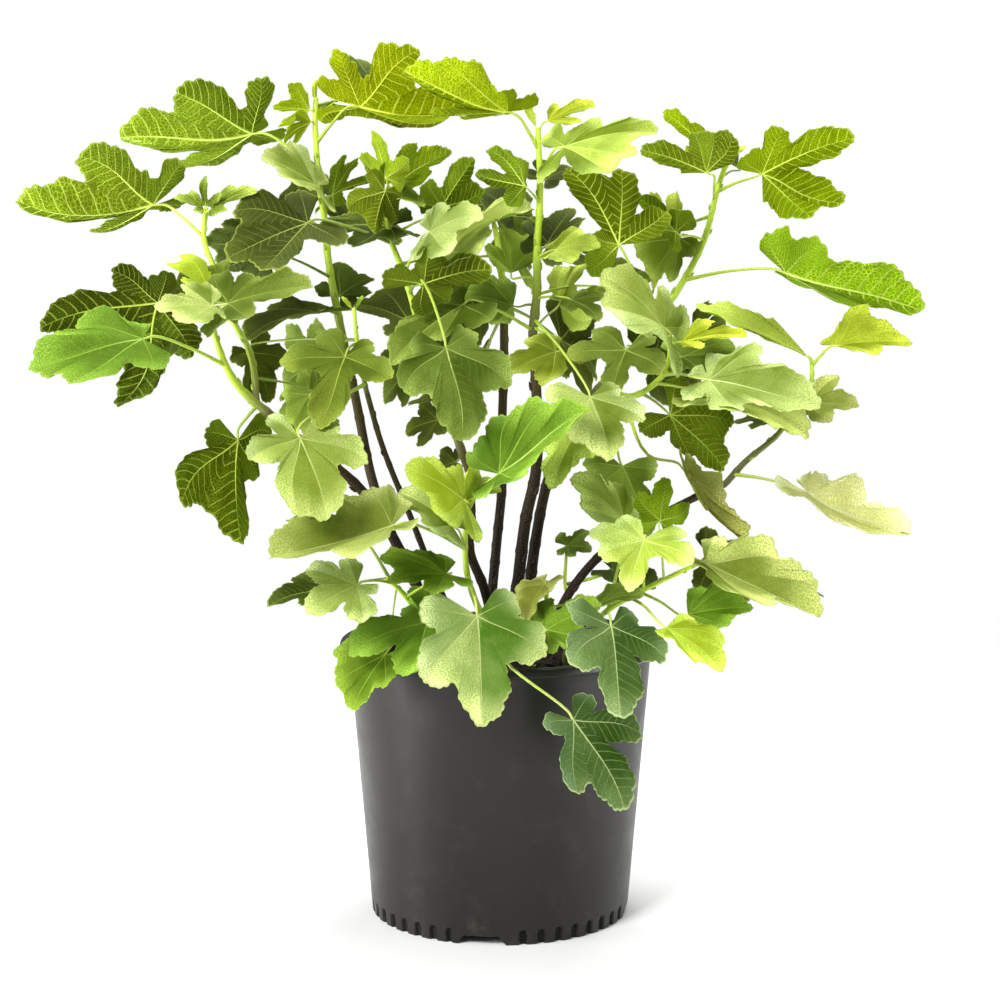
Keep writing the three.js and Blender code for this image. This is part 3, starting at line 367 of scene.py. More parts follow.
MIDDLE_LEFT_LEAVES = [
    upper([308, 223, -62], [226, 261, -85], [391, 243], [[234, 213], [298, 186], [262, 272]],
          0.8, BROAD, "deep"),
    upper([390, 226, -30], [312, 236, -14], [389, 232], [[408, 208], [350, 246], [350, 216]],
          0.5, BROAD, "deep"),
    under([385, 191, -60], [372, 233, -80], [389, 194], [[350, 208], [398, 222]], 0.8, BROAD, "lace"),
    upper([398, 196, -36], [425, 208, -34], [389, 200], [], 0.4, ENTIRE, "fresh"),
    under([386, 178, -46], [372, 131, -52], [389, 190], [[408, 160], [352, 154]], 0.6, BROAD, "mid"),
    under([398, 183, -30], [450, 150, -22], [389, 192], [[415, 143], [432, 178]], 0.6, BROAD, "mid"),
    upper([430, 232, -70], [484, 215, -100], [404, 275], [[447, 203], [425, 212], [455, 254]],
          0.75, BROAD, "grey"),
    under([442, 208, -14], [474, 158, 2], [390, 236], [[428, 180], [482, 190]], 0.8, BROAD, "lace"),
    under([423, 284, -75], [492, 268, -95], [408, 292], [[437, 247], [450, 300], [384, 270]],
          0.85, BROAD, "lace_dark"),
    upper([445, 255, 0], [533, 207, -15], [401, 265], [[482, 218], [490, 248]], 0.3, ENTIRE, "pale"),
    upper([410, 322, 10], [355, 305, 35], [418, 326], [[380, 290], [385, 335]], 0.7, BROAD, "deep"),
    upper([446, 348, -130], [461, 443, -165], [404, 274], [[404, 392], [508, 388], [412, 345], [478, 328]],
          0.95, BROAD, "moss", [425, 284, -84]),
    upper([438, 420, 30], [405, 433, 45], [452, 424], [[418, 447], [420, 405]], 0.8, BROAD, "deep"),
    hidden([456, 462, 35], [430, 474, 50], [460, 445]),
    hidden([415, 365, 30], [385, 402, 50], [428, 354]),
]
BACK_LEAVES = [
    upper([488, 203, 112], [470, 240, 90], [491, 208], [], 0.8, BROAD, "deep"),
    hidden([548, 246, 115], [592, 250, 150], [500, 264]),
    hidden([470, 262, 130], [420, 300, 165], [499, 258]),
    hidden([480, 312, 140], [452, 336, 200], [503, 296]),
    hidden([455, 320, 170], [430, 345, 245], [503, 300]),
    hidden([560, 340, 170], [600, 372, 235], [504, 306]),
    hidden([500, 230, 150], [530, 255, 225], [496, 235], "shade"),
    hidden([470, 385, 175], [440, 382, 250], [504, 312]),
]
MIDDLE_LEAVES = [
    under([508, 112, -28], [404, 68, -62], [538, 152], [[448, 56], [503, 84], [538, 116], [464, 122]],
          0.78, KEEL, "glow"),
    under([525, 186, -40], [488, 148, -62], [539, 203], [[474, 178], [508, 202], [512, 160]],
          0.8, SPARE, "lace"),
    upper([545, 180, 8], [572, 168, 30], [540, 200], [], 0.6, BROAD, "deep"),
    upper([512, 214, 48], [480, 190, 72], [539, 225], [], 0.6, ENTIRE, "deep"),
    upper([565, 147, -60], [658, 130, -95], [539, 176], [[604, 124], [636, 160], [612, 172], [545, 125]],
          0.6, DEEP, "mid"),
    upper([548, 121, 0], [596, 104, 8], [538, 132], [[558, 104], [582, 123]], 0.7, YOUNG, "glow"),
    upper([536, 127, -14], [520, 100, -14], [538, 133], [], 0.6, BUD, "lime"),
    upper([463, 305, -48], [388, 362, -42], [533, 332], [[420, 310], [455, 287], [440, 345]],
          0.7, BROAD, "moss"),
    upper([511, 273, 20], [505, 222, 45], [537, 280], [[485, 247], [532, 236]], 0.7, SPARE, "fresh"),
    hidden([548, 243, 15], [572, 208, 45], [538, 252]),
    upper([556, 250, -30], [600, 248, -45], [538, 257], [[586, 278]], 0.5, ENTIRE, "mid"),
    upper([560, 303, 22], [586, 262, 44], [534, 332], [[606, 290], [600, 322], [562, 266]],
          0.7, SPARE, "mid"),
    upper([513, 306, 14], [461, 297, 40], [536, 306], [[500, 284], [490, 324], [468, 278]],
          0.6, SPARE, "shade"),
    upper([612, 286, 96], [652, 280, 134], [537, 294], [[628, 264], [640, 302]], 0.7, SPARE, "moss"),
    upper([556, 352, -62], [507, 372, -85], [534, 328], [[540, 392], [525, 340]], 0.7, BROAD, "mid"),
    upper([590, 397, -150], [607, 460, -185], [535, 318], [[645, 420], [620, 388], [545, 393], [573, 445]],
          0.95, BROAD, "grey"),
    upper([571, 300, -50], [600, 320, -75], [536, 298], [], 0.6, BROAD, "moss"),
]
RIGHT_LEAVES = [
    under([619, 245, -22], [568, 164, -55], [648, 330], [[620, 172], [668, 210], [592, 236]],
          0.85, DEEP, "lace", [640, 290, -5]),
    under([676, 232, 0], [637, 198, 5], [703, 242], [[676, 208], [694, 214], [645, 226]],
          0.7, BROAD, "lace"),
    upper([680, 238, 52], [649, 277, 78], [703, 243], [[636, 251], [672, 283]], 0.8, BROAD, "mid"),
    under([707, 173, 34], [640, 149, 50], [715, 200], [[733, 132], [692, 134], [714, 131]],
          0.8, SPARE, "lace"),
    under([706, 152, 74], [664, 112, 96], [724, 170], [[690, 123], [640, 152], [655, 136], [680, 160]],
          0.6, SPARE, "glow"),
    under([762, 174, 38], [856, 138, 30], [720, 192], [[785, 130], [843, 200], [812, 218], [742, 152]],
          0.8, SPARE, "glow"),
    under([786, 273, -20], [922, 314, -60], [686, 283], [[812, 248], [766, 235]], 0.67, CUPPED, "fresh"),
    upper([730, 160, 54], [746, 146, 54], [727, 166], [], 0.6, BUD, "lime"),
    upper([664, 328, -105], [601, 277, -150], [670, 350], [[602, 302], [663, 285], [697, 317]],
          0.6, BROAD, "pale"),
    upper([682, 342, -90], [748, 338, -115], [669, 360], [[714, 320]], 0.5, YOUNG, "glow"),
    upper([682, 357, -52], [740, 354, -48], [667, 366], [[718, 376], [730, 343]], 0.6, BROAD, "shade"),
    upper([708, 380, -125], [820, 403, -170], [664, 375],
          [[764, 356], [729, 352], [686, 371], [684, 397], [742, 412], [792, 428]], 0.8, SPARE, "grey"),
    upper([712, 398, -88], [808, 437, -110], [655, 383], [[766, 434]], 0.35, ENTIRE, "pale"),
    under([670, 415, -40], [724, 470, -60], [641, 394], [[733, 423], [715, 400], [690, 458]],
          0.85, BROAD, "lace_dark"),
    upper([684, 470, -86], [748, 540, -96], [620, 401], [[733, 494], [690, 455]],
          0.6, KEEL, "olive", [648, 455, -70]),
    upper([626, 350, -98], [613, 397, -122], [664, 372], [[566, 356], [664, 373], [592, 326], [655, 335]],
          0.9, BROAD, "moss"),
    upper([583, 420, -95], [553, 490, -125], [612, 399], [[545, 452], [590, 458]], 0.8, BROAD, "mid"),
    upper([622, 466, 40], [650, 536, 60], [606, 381], [[656, 470], [590, 466], [600, 494]],
          0.8, SPARE, "shade"),
    hidden([690, 340, 80], [704, 372, 140], [664, 318]),
    hidden([650, 366, 110], [690, 382, 180], [625, 360]),
    hidden([674, 236, 120], [652, 256, 190], [712, 215], "mid"),
    upper([738, 168, 118], [716, 150, 150], [722, 178], [], 0.7, SPARE, "deep"),
]
FAR_RIGHT_LEAVES = [
    upper([807, 356, -57], [697, 304, -50], [812, 364], [], 0.4, BUD, "mid"),
    upper([838, 346, -62], [912, 344, -82], [812, 366], [[868, 308], [880, 354], [826, 330]],
          0.5, OVAL, "glow"),
    hidden([772, 416, 20], [756, 412, 66], [790, 414]),
    upper([806, 404, -72], [859, 404, -85], [806, 392], [[838, 376]], 0.7, BROAD, "grey"),
    upper([808, 493, -90], [910, 535, -125], [733, 476],
          [[870, 487], [828, 470], [798, 481], [838, 512], [812, 500]], 0.78, KEEL, "straw"),
]
FAR_LEFT_LEAVES = [
    under([153, 205, -40], [15, 201, -70], [204, 238],
          [[75, 143], [30, 174], [183, 165], [92, 224], [181, 218]], 0.78, KEEL, "lace"),
    upper([206, 206, -42], [206, 176, -46], [206, 214], [[188, 193], [222, 193]], 0.8, YOUNG, "shade"),
    upper([203, 209, -46], [175, 197, -62], [206, 216], [], 0.6, YOUNG, "mid"),
    upper([210, 210, -46], [257, 191, -62], [206, 215], [[238, 190]], 0.5, YOUNG, "mid"),
    under([158, 303, -20], [41, 329, -45], [234, 322], [[112, 274], [116, 420], [190, 356], [166, 270]],
          0.9, DEEP, "lace_deep"),
    upper([143, 339, -150], [30, 368, -178], [225, 367], [[70, 385], [152, 366], [75, 325], [140, 322]],
          0.7, BROAD, "grass"),
    upper([212, 306, -122], [155, 308, -150], [211, 318], [[182, 284], [178, 324]], 0.6, BROAD, "grey"),
    upper([210, 292, -90], [166, 262, -84], [211, 318], [[182, 254]], 0.5, YOUNG, "glow"),
    upper([222, 286, -73], [228, 260, -68], [212, 316], [[205, 266]], 0.6, ENTIRE, "moss"),
    upper([228, 304, -112], [313, 284, -122], [212, 320], [[258, 276], [250, 318]], 0.6, BROAD, "moss"),
    under([238, 440, -95], [237, 544, -125], [258, 404], [[186, 503], [206, 432], [257, 478]],
          0.7, BROAD, "lace_dark"),
    hidden([176, 328, 20], [136, 340, 70], [222, 290]),
    hidden([180, 318, 60], [150, 322, 140], [226, 300]),
    hidden([310, 395, -30], [290, 430, -10], [255, 378], "shade"),
]
FRONT_LEAVES = [
    upper([392, 526, -150], [268, 560, -180], [463, 548], [[372, 486], [402, 494]], 0.67, CUPPED, "grey"),
    upper([464, 500, -112], [404, 469, -152], [467, 505], [[430, 512], [444, 470]], 0.8, BROAD, "lime"),
    upper([474, 494, -96], [500, 490, -110], [467, 502], [], 0.5, ENTIRE, "shade"),
    upper([468, 492, -94], [470, 470, -94], [468, 497], [], 0.6, BUD, "lime"),
    upper([452, 526, -116], [397, 494, -118], [465, 545], [], 0.6, ENTIRE, "grey"),
    upper([477, 616, -150], [484, 726, -185], [467, 576], [[424, 686], [417, 614], [543, 658], [521, 597]],
          0.97, BROAD, "hero"),
    upper([573, 720, -172], [626, 811, -182], [486, 630], [[577, 796], [641, 736], [546, 726], [590, 694]],
          0.9, DEEP, "blue", [512, 668, -158]),
    upper([499, 474, -165], [590, 410, -200], [467, 512], [[545, 402], [506, 412], [472, 450]],
          0.67, CUPPED, "grass"),
]
LOW_LEFT_LEAVES = [
    upper([357, 585, -140], [306, 613, -162], [392, 583], [[306, 570], [360, 626], [378, 590]],
          0.85, BROAD, "grey"),
    upper([330, 590, -70], [267, 604, -82], [386, 580], [[293, 578]], 0.5, BROAD, "deep"),
    hidden([352, 526, 20], [332, 514, 96], [392, 583], "shade"),
    upper([446, 574, -125], [390, 583, -148], [406, 598], [[412, 553], [370, 552]], 0.6, BROAD, "grass"),
    upper([428, 622, -106], [350, 654, -132], [412, 606], [[402, 684], [405, 606]], 0.7, BROAD, "grass"),
    upper([385, 655, -112], [349, 709, -130], [412, 606], [[337, 685], [335, 655], [384, 690]],
          0.85, BROAD, "grass", [400, 634, -104]),
    upper([388, 634, -70], [364, 640, -84], [396, 588], [[378, 649], [370, 624]], 0.7, BROAD, "grass"),
]
LOW_MIDDLE_LEAVES = [
    upper([545, 584, -104], [525, 620, -122], [546, 600], [], 0.6, ENTIRE, "olive"),
    upper([547, 630, -124], [600, 602, -136], [546, 610], [[548, 597], [588, 640], [555, 650]],
          0.8, BROAD, "grass"),
    upper([600, 604, -112], [643, 598, -128], [547, 608], [], 0.4, ENTIRE, "moss"),
]
LOW_RIGHT_LEAVES = [
    upper([611, 626, -152], [621, 719, -188], [603, 614], [[570, 668], [667, 659], [638, 611]],
          0.9, BROAD, "blue"),
    upper([644, 540, -150], [630, 592, -178], [645, 590], [[697, 566], [588, 530], [619, 512], [686, 531]],
          0.95, BROAD, "light"),
    under([660, 521, -110], [668, 477, -100], [665, 580], [[696, 503], [638, 492]], 0.8, BROAD, "fresh"),
    upper([624, 522, -60], [572, 478, -84], [610, 610], [[610, 480], [584, 508], [640, 500]],
          0.6, BROAD, "pale"),
    upper([705, 563, -132], [822, 610, -168], [694, 566], [[780, 562], [712, 541], [770, 606]],
          0.67, CUPPED, "grey"),
    hidden([762, 572, -10], [778, 570, 66], [700, 564]),
    upper([712, 560, -60], [749, 600, -52], [700, 564], [[711, 525], [698, 592]], 0.8, BROAD, "deep"),
    upper([688, 615, -128], [752, 607, -146], [640, 592], [], 0.8, OVAL, "grass"),
    upper([666, 628, -182], [724, 671, -206], [630, 598], [], 0.6, OVAL, "lime"),
]
TWIG_LEAVES = [
    upper([567, 546, -6], [592, 550, -14], [567, 552], [[558, 530], [590, 532]], 0.8, BROAD, "moss"),
    upper([612, 570, -10], [655, 590, -30], [608, 573], [], 0.6, ENTIRE, "deep"),
]

# Shoots: radii at the foot and the tip, what the first stem stands on, and places along the stems
SHOOTS = [
    leafy_shoot("shoot_tall_left", TALL_LEFT_LEAVES, [3.8, 2.2], wood="wood_tall_left", stems=[
        [[352, 380, 20], [339, 319, 32], [328, 258, 46], [324, 215, 55], [319, 183, 62], [315, 118, 78],
         [316, 98, 82]],
    ]),
    leafy_shoot("shoot_thin_left", THIN_LEFT_LEAVES, [2.2, 1.5], wood="wood_thin_left", stems=[
        [[367, 393, -57], [357, 340, -60], [354, 308, -62]],
    ]),
    leafy_shoot("shoot_middle_left", MIDDLE_LEFT_LEAVES, [3.7, 2], wood="wood_middle_left", stems=[
        [[462, 452, -8], [440, 390, -16], [418, 321, -24], [404, 274, -30], [390, 237, -36],
         [387, 211, -40], [389, 187, -42]],
    ]),
    leafy_shoot("shoot_back", BACK_LEAVES, [3.7, 2], wood="wood_back", stems=[
        [[504, 317, 78], [502, 280, 92], [497, 240, 104], [490, 205, 112]],
    ]),
    leafy_shoot("shoot_middle", MIDDLE_LEAVES, [4, 2.2], wood="wood_middle", stems=[
        [[533, 334, -17], [537, 291, -18], [537, 254, -18], [540, 193, -18], [538, 128, -14]],
    ]),
    leafy_shoot("shoot_right", RIGHT_LEAVES, [3.8, 2.2], wood="wood_right", stems=[
        [[590, 400, 12], [640, 340, 18], [679, 288, 28], [704, 240, 38], [719, 184, 50], [728, 160, 54]],
        [[606, 381, 14], [624, 396, -25], [643, 392, -50], [663, 375, -62], [669, 360, -66],
         [671, 342, -70]],
    ]),
    leafy_shoot("shoot_far_right", FAR_RIGHT_LEAVES, [2.9, 1.7], wood="wood_far_right", ripe=0.6, stems=[
        [[721, 486, -48], [745, 462, -50], [778, 434, -52], [800, 402, -54], [811, 383, -55],
         [812, 360, -56]],
    ]),
    leafy_shoot("shoot_far_left", FAR_LEFT_LEAVES, [3.7, 2], wood="wood_far_left", stems=[
        [[268, 413, -90], [240, 388, -95], [228, 370, -100], [217, 342, -105], [210, 314, -108]],
        [[256, 404, -92], [255, 378, -82], [249, 350, -74], [234, 322, -62], [215, 270, -50],
         [204, 240, -45], [206, 208, -42]],
    ]),
    leafy_shoot("shoot_front", FRONT_LEAVES, [3.2, 2], foot=[-10, -62], stems=[
        [[486, 625, -68], [475, 600, -74], [467, 573, -80], [465, 540, -86], [467, 505, -92],
         [468, 492, -94]],
    ]),
    leafy_shoot("shoot_low_left", LOW_LEFT_LEAVES, [2.8, 1.8], foot=[-52, -68], stems=[
        [[428, 630, -76], [412, 605, -84], [400, 590, -90], [386, 578, -96]],
    ]),
    leafy_shoot("shoot_low_middle", LOW_MIDDLE_LEAVES, [2.6, 1.8], foot=[26, -78], stems=[
        [[543, 640, -90], [547, 615, -98], [546, 592, -103]],
    ]),
    leafy_shoot("shoot_low_right", LOW_RIGHT_LEAVES, [2.8, 1.8], foot=[56, -58], stems=[
        [[585, 640, -76], [603, 614, -86], [640, 592, -92], [680, 572, -92], [702, 562, -90]],
    ]),
    leafy_shoot("shoot_twig", TWIG_LEAVES, [2, 1.3], foot=[50, 18], stems=[
        [[580, 620, 4], [566, 590, 0], [566, 560, -3], [567, 546, -4]],
        [[567, 584, 0], [585, 580, -4], [612, 572, -8]],
    ]),
]


def colour(code):
    """Linear colour of a hex code."""
    parts = [int(code[start:start + 2], 16) / 255 for start in (1, 3, 5)]
    linear = [part / 12.92 if part <= 0.04045 else ((part + 0.055) / 1.055) ** 2.4 for part in parts]
    return np.array([*linear, 1.0])


def unit(vector):
    return vector / np.linalg.norm(vector)


def sight(place):
    """Point in millimetres of a place [across, down, depth]."""
    across, down, depth = place
    ray = FORWARD - UPWARD * (down - PICTURE_MIDDLE) / EYE_REACH
    ray = ray + np.array([(across - PICTURE_MIDDLE) / EYE_REACH, 0.0, 0.0])
    return EYE + ray * (depth - EYE[1]) / ray[1]


def seen(points):
    """Across and down of points in millimetres."""
    away = points - EYE
    near = away @ FORWARD
    across = PICTURE_MIDDLE + EYE_REACH * away[:, 0] / near
    down = PICTURE_MIDDLE - EYE_REACH * (away @ UPWARD) / near
    return np.stack([across, down], axis=1)


def run_length(line):
    """Length of a line up to each of its points."""
    return np.concatenate([[0], np.cumsum(np.linalg.norm(np.diff(line, axis=0), axis=1))])


def smooth(points, steps):
    """Centripetal curve through points, with a number of steps between neighbours."""
    points = [np.asarray(point, dtype=float) for point in points]
    ends = [2 * points[0] - points[1], *points, 2 * points[-1] - points[-2]]
    line = []
    for index in range(len(points) - 1):
        a, b, c, d = ends[index:index + 4]
        pairs = ((a, b), (b, c), (c, d))
        first, second, third = [max(np.linalg.norm(q - p) ** 0.5, 1e-4) for p, q in pairs]
        leave = second * ((b - a) / first - (c - a) / (first + second) + (c - b) / second)
        arrive = second * ((c - b) / second - (d - b) / (second + third) + (d - c) / third)
        for step in range(steps):
            t = step / steps
            square = (-3 * b + 3 * c - 2 * leave - arrive) * t ** 2
            cube = (2 * b - 2 * c + leave + arrive) * t ** 3
            line.append(b + leave * t + (square + cube))
    line.append(points[-1])
    return np.array(line)


def add_object(name, data):
    made = bpy.data.objects.new(name, data)
    bpy.context.scene.collection.objects.link(made)
    return made


class Piece:
    """Gathers points, faces and their shading values for one object."""

    def __init__(self, materials):
        self.materials = materials
        self.points = []
        self.tints = []
        self.ribs = []
        self.edges = []
        self.faces = []
        self.kinds = []
        self.vein_places = []
        self.blade_places = []
        self.count = 0

    def add_points(self, points, tints, ribs, edges):
        """Adds points with their shading values and gives the number of the first one."""
        start = self.count
        size = len(points)
        self.points.append(points)
        self.tints.append(np.broadcast_to(tints, (size, 4)))
        self.ribs.append(np.broadcast_to(ribs, (size, 4)))
        self.edges.append(np.broadcast_to(edges, size))
        self.count += size
        return start

    def add_faces(self, corners, kind, vein_places=0.0, blade_places=0.0):
        self.faces.extend(corners.tolist())
        self.kinds.append(np.full(len(corners), kind))
        for kept, places in ((self.vein_places, vein_places), (self.blade_places, blade_places)):
            kept.append(np.broadcast_to(places, (*corners.shape, 2)).reshape(-1, 2))

    def build(self, name, sharp_angle):
        mesh = bpy.data.meshes.new(name)
        points = np.concatenate(self.points) * MILLIMETRE
        mesh.from_pydata(points.tolist(), [], self.faces)
        for label, places in (("veins", self.vein_places), ("blade", self.blade_places)):
            layer = mesh.uv_layers.new(name=label)
            layer.data.foreach_set("uv", np.concatenate(places).astype(np.float32).ravel())
        for label, values in (("tint", self.tints), ("rib", self.ribs)):
            layer = mesh.color_attributes.new(label, "FLOAT_COLOR", "POINT")
            layer.data.foreach_set("color", np.concatenate(values).astype(np.float32).ravel())
        layer = mesh.attributes.new("edge", "FLOAT", "POINT")
        layer.data.foreach_set("value", np.concatenate(self.edges).astype(np.float32))
        mesh.polygons.foreach_set("material_index", np.concatenate(self.kinds).astype(np.int32))
        for material in self.materials:
            mesh.materials.append(material)
        mesh.shade_smooth()
        mesh.set_sharp_from_angle(angle=math.radians(sharp_angle))
        mesh.update()
        return add_object(name, mesh)


def grid_corners(start, rows, columns, closed):
    """Corners of the quads between rows of points, counted from start."""
    row = np.arange(rows - 1)[:, None] * columns
    column = np.arange(columns if closed else columns - 1)[None, :]
    after = (column + 1) % columns
    corners = [row + column, row + after, row + columns + after, row + columns + column]
    return (start + np.stack(corners, axis=-1)).reshape(-1, 4)


def fan_corners(centre, one, two):
    """Corners of triangles from a centre to points one and two."""
    return np.stack([np.full(len(one), centre), one, two], axis=1)


def add_tube(piece, line, radii, sides, kind, tints):
    """Round tube along a line, closed at both ends, with its length in the edge value."""
    line = np.asarray(line)
    count = len(line)
    length = run_length(line)
    side = np.array([1.0, 0.2, 0.1])
    turns = np.arange(sides) * 2 * math.pi / sides
    rings = []
    for row, point in enumerate(line):
        along = unit(line[min(row + 1, count - 1)] - line[max(row - 1, 0)])
        side = unit(side - along * (side @ along))
        other = np.cross(along, side)
        wheel = np.cos(turns)[:, None] * side + np.sin(turns)[:, None] * other
        rings.append(point + wheel * radii[row])
    points = np.concatenate([*rings, line[:1], line[-1:]])
    rows = np.concatenate([np.repeat(np.arange(count), sides), [0, count - 1]])
    tints = np.broadcast_to(tints, (count, 4))[rows]
    start = piece.add_points(points, tints, tints, length[rows])
    column = np.tile(np.arange(sides), count - 1)
    row = np.repeat(np.arange(count - 1), sides)
    wide = np.stack([column, column + 1, column + 1, column], axis=1)
    deep = np.stack([row, row, row + 1, row + 1], axis=1)
    around = wide / sides * 2 * math.pi * np.mean(radii) / 10
    places = np.stack([around, length[deep] / 10], axis=-1)
    piece.add_faces(grid_corners(start, count, sides, True), kind, places, places)
    ring = np.arange(sides)
    after = (ring + 1) % sides
    centre = count * sides
    last_ring = centre - sides
    piece.add_faces(start + fan_corners(centre, after, ring), kind)
    piece.add_faces(start + fan_corners(centre + 1, last_ring + ring, last_ring + after), kind)


def blade_frame(leaf):
    """Origin at the petiole, along to the tip, across the blade, n on the upper side."""
    origin = sight(leaf["at"])
    along = sight(leaf["tip"]) - origin
    length = np.linalg.norm(along)
    along = along / length
    facing = unit(EYE - origin)
    facing = unit(facing - along * (facing @ along)) * leaf["side"]
    roll = np.cross(along, facing) * math.sqrt(1 - leaf["open"] ** 2)
    first = facing * leaf["open"] + roll
    second = facing * leaf["open"] - roll
    n = first if first[2] > second[2] else second
    return {"origin": origin, "along": along, "across": np.cross(n, along), "n": n, "length": length}


def on_blade(blade, x, y, height):
    """Points over the flat frame of a blade."""
    spots = blade["origin"] + x[:, None] * blade["along"] + y[:, None] * blade["across"]
    return spots + height[:, None] * blade["n"]


def on_half(blade, place, slope):
    """Where a place of the view lies on one half of a folded blade, or None if it is on the other half."""
    ray = unit(sight([*place, 0]) - EYE)
    sideways = blade["across"] + slope * blade["n"]
    facing = np.cross(blade["along"], sideways)
    spot = EYE + ray * ((blade["origin"] - EYE) @ facing / (ray @ facing)) - blade["origin"]
    y = spot @ sideways / (sideways @ sideways)
    return (spot @ blade["along"], y) if y * slope > 0 else None


def blade_lobes(leaf, blade):
    """Angle and length of every lobe, the tip at angle 0."""
    lobes = [(0.0, blade["length"])]
    for place in leaf["lobes"]:
        spots = [on_half(blade, place, side * leaf["form"]["fold"]) for side in (1, -1)]
        spots = sorted([spot for spot in spots if spot], key=lambda spot: math.hypot(*spot))
        if spots:
            x, y = spots[0]
            reach = min(math.hypot(x, y), LOBE_LIMIT * blade["length"])
            lobes.append((math.degrees(math.atan2(y, x)), reach))
    for side in (-1, 1):
        for angle, share in leaf["form"]["spread"]:
            near = [lobe for lobe in lobes[1:] if abs(lobe[0] - side * angle) < DEFAULT_LOBE_CLEAR]
            below = [lobe for lobe in lobes if side * lobe[0] > angle + BASE_LOBE_CLEAR]
            if not near and not (below and angle > BASE_LOBE_ANGLE):
                lobes.append((side * angle, share * blade["length"]))
    lobes.sort()
    kept = lobes[:1]
    for before, lobe in zip(lobes, lobes[1:]):
        if lobe[0] - before[0] > LOBE_APART:
            kept.append(lobe)
    return kept


def lobe_ray(offset, reach, width):
    """Length of the ray from the petiole to the edge of a paddle-shaped lobe, at angles from its rib."""
    share = np.linspace(0.01, 1, RAY_STEPS)
    end = np.clip((share - ROUND_START) / (1 - ROUND_START), 0, 1)
    taper = LOBE_TAPER * np.clip(1 - share / ROUND_START, 0, 1)
    half = 0.5 * width / reach * (1 - end ** 2) ** ROUND_POWER * (1 - taper)
    turns = np.arctan2(half, share)
    return reach * np.interp(np.radians(np.abs(offset)), turns[::-1], np.hypot(share, half)[::-1])


def blade_outline(lobes, form, length, spacing, dice):
    """Scalloped outline: its points, the lobe of each, its length so far and place in the lobe."""
    pairs = list(zip(lobes, lobes[1:]))
    first = max(lobes[0][0] - BASE_GAP_TURN, -BASE_GAP_LIMIT)
    last = min(lobes[-1][0] + BASE_GAP_TURN, BASE_GAP_LIMIT)
    gaps = [first, *[(one[0] + two[0]) / 2 for one, two in pairs], last]
    floors = [form["cut"] * math.sqrt(one[1] * two[1]) for one, two in pairs]
    floors = [BASE_GAP_SHARE * lobes[0][1], *floors, BASE_GAP_SHARE * lobes[-1][1]]
    angles = []
    owners = []
    shares = []
    for index, (angle, _) in enumerate(lobes):
        for start, end in ((gaps[index], angle), (angle, gaps[index + 1])):
            sweep = np.linspace(start, end, EDGE_STEPS, endpoint=False)
            angles.extend(sweep)
            shares.extend(np.abs(sweep - angle) / abs(end - start))
            owners.extend([index] * EDGE_STEPS)
    fixed = range(0, len(angles) + 1, EDGE_STEPS)
    angles = np.array([*angles, last])
    owners.append(owners[-1])
    shares.append(1)
    total = np.interp(angles, gaps, floors) ** EDGE_BLEND
    for angle, reach in lobes:
        width = form["width"] * (0.4 * length + 0.6 * reach) * dice.uniform(*LOBE_WIDTH_PLAY)
        total += lobe_ray(angles - angle, reach, width) ** EDGE_BLEND
    reaches = total ** (1 / EDGE_BLEND)
    turns = np.radians(angles)
    spots = np.stack([reaches * np.cos(turns), reaches * np.sin(turns)], axis=1)
    arc = run_length(spots)
    chosen = []
    for start, end in zip(fixed, fixed[1:]):
        parts = max(3, round((arc[end] - arc[start]) / spacing))
        goals = np.linspace(arc[start], arc[end], parts, endpoint=False)
        chosen.append(np.stack([goals, np.full(parts, owners[start])], axis=1))
    chosen.append([[arc[-1], owners[-1]]])
    places, chosen_owners = np.concatenate(chosen).T
    x = np.interp(places, arc, spots[:, 0])
    y = np.interp(places, arc, spots[:, 1])
    run = np.stack([np.gradient(x), np.gradient(y)], axis=1)
    outward = np.stack([run[:, 1], -run[:, 0]], axis=1) / np.linalg.norm(run, axis=1)[:, None]
    push = np.zeros(len(places))
    for pitch, height in SCALLOPS:
        wave = np.sin(places / (DRIFT_PITCH * pitch * length) + dice.uniform(0, 6))
        drift = SCALLOP_DRIFT * pitch * length * wave
        bow = np.abs(np.sin(math.pi * (places + drift) / (pitch * length)))
        push += height * length * (bow - SCALLOP_CUT)
    ends = np.minimum(places, places[-1] - places) / (SCALLOP_FADE * length)
    push *= np.clip(ends, 0, 1)
    spots = np.stack([x, y], axis=1) + outward * push[:, None]
    return spots, chosen_owners.astype(int), places, np.interp(places, arc, shares)


def blade_height(x, y, blade, form, phase):
    """Height of the blade above its flat frame: arched along, folded at the midrib, waved edge."""
    length = blade["length"]
    share = x / length
    arch = 4 * form["arch"] * length * share * (1 - share)
    fold = form["fold"] * np.abs(y)
    reach = np.hypot(x, y) / length
    wave = WAVE_HEIGHT * length * reach * reach * np.sin(WAVE_COUNT * np.arctan2(y, x) + phase)
    return arch + fold + wave


def side_tints(leaf, dice):
    """Blade and rib colour of the upper side, then of the lower one, a little different on each leaf."""
    light = dice.uniform(*LIGHT_PLAY)
    warm = dice.uniform(*WARM_PLAY)
    shift = np.array([light * (1 + warm), light, light * (1 - warm), 1])
    tints = [colour(code) * shift for code in TONES[leaf["tone"]]]
    return tints if leaf["side"] > 0 else [*tints[2:], *tints[:2]]


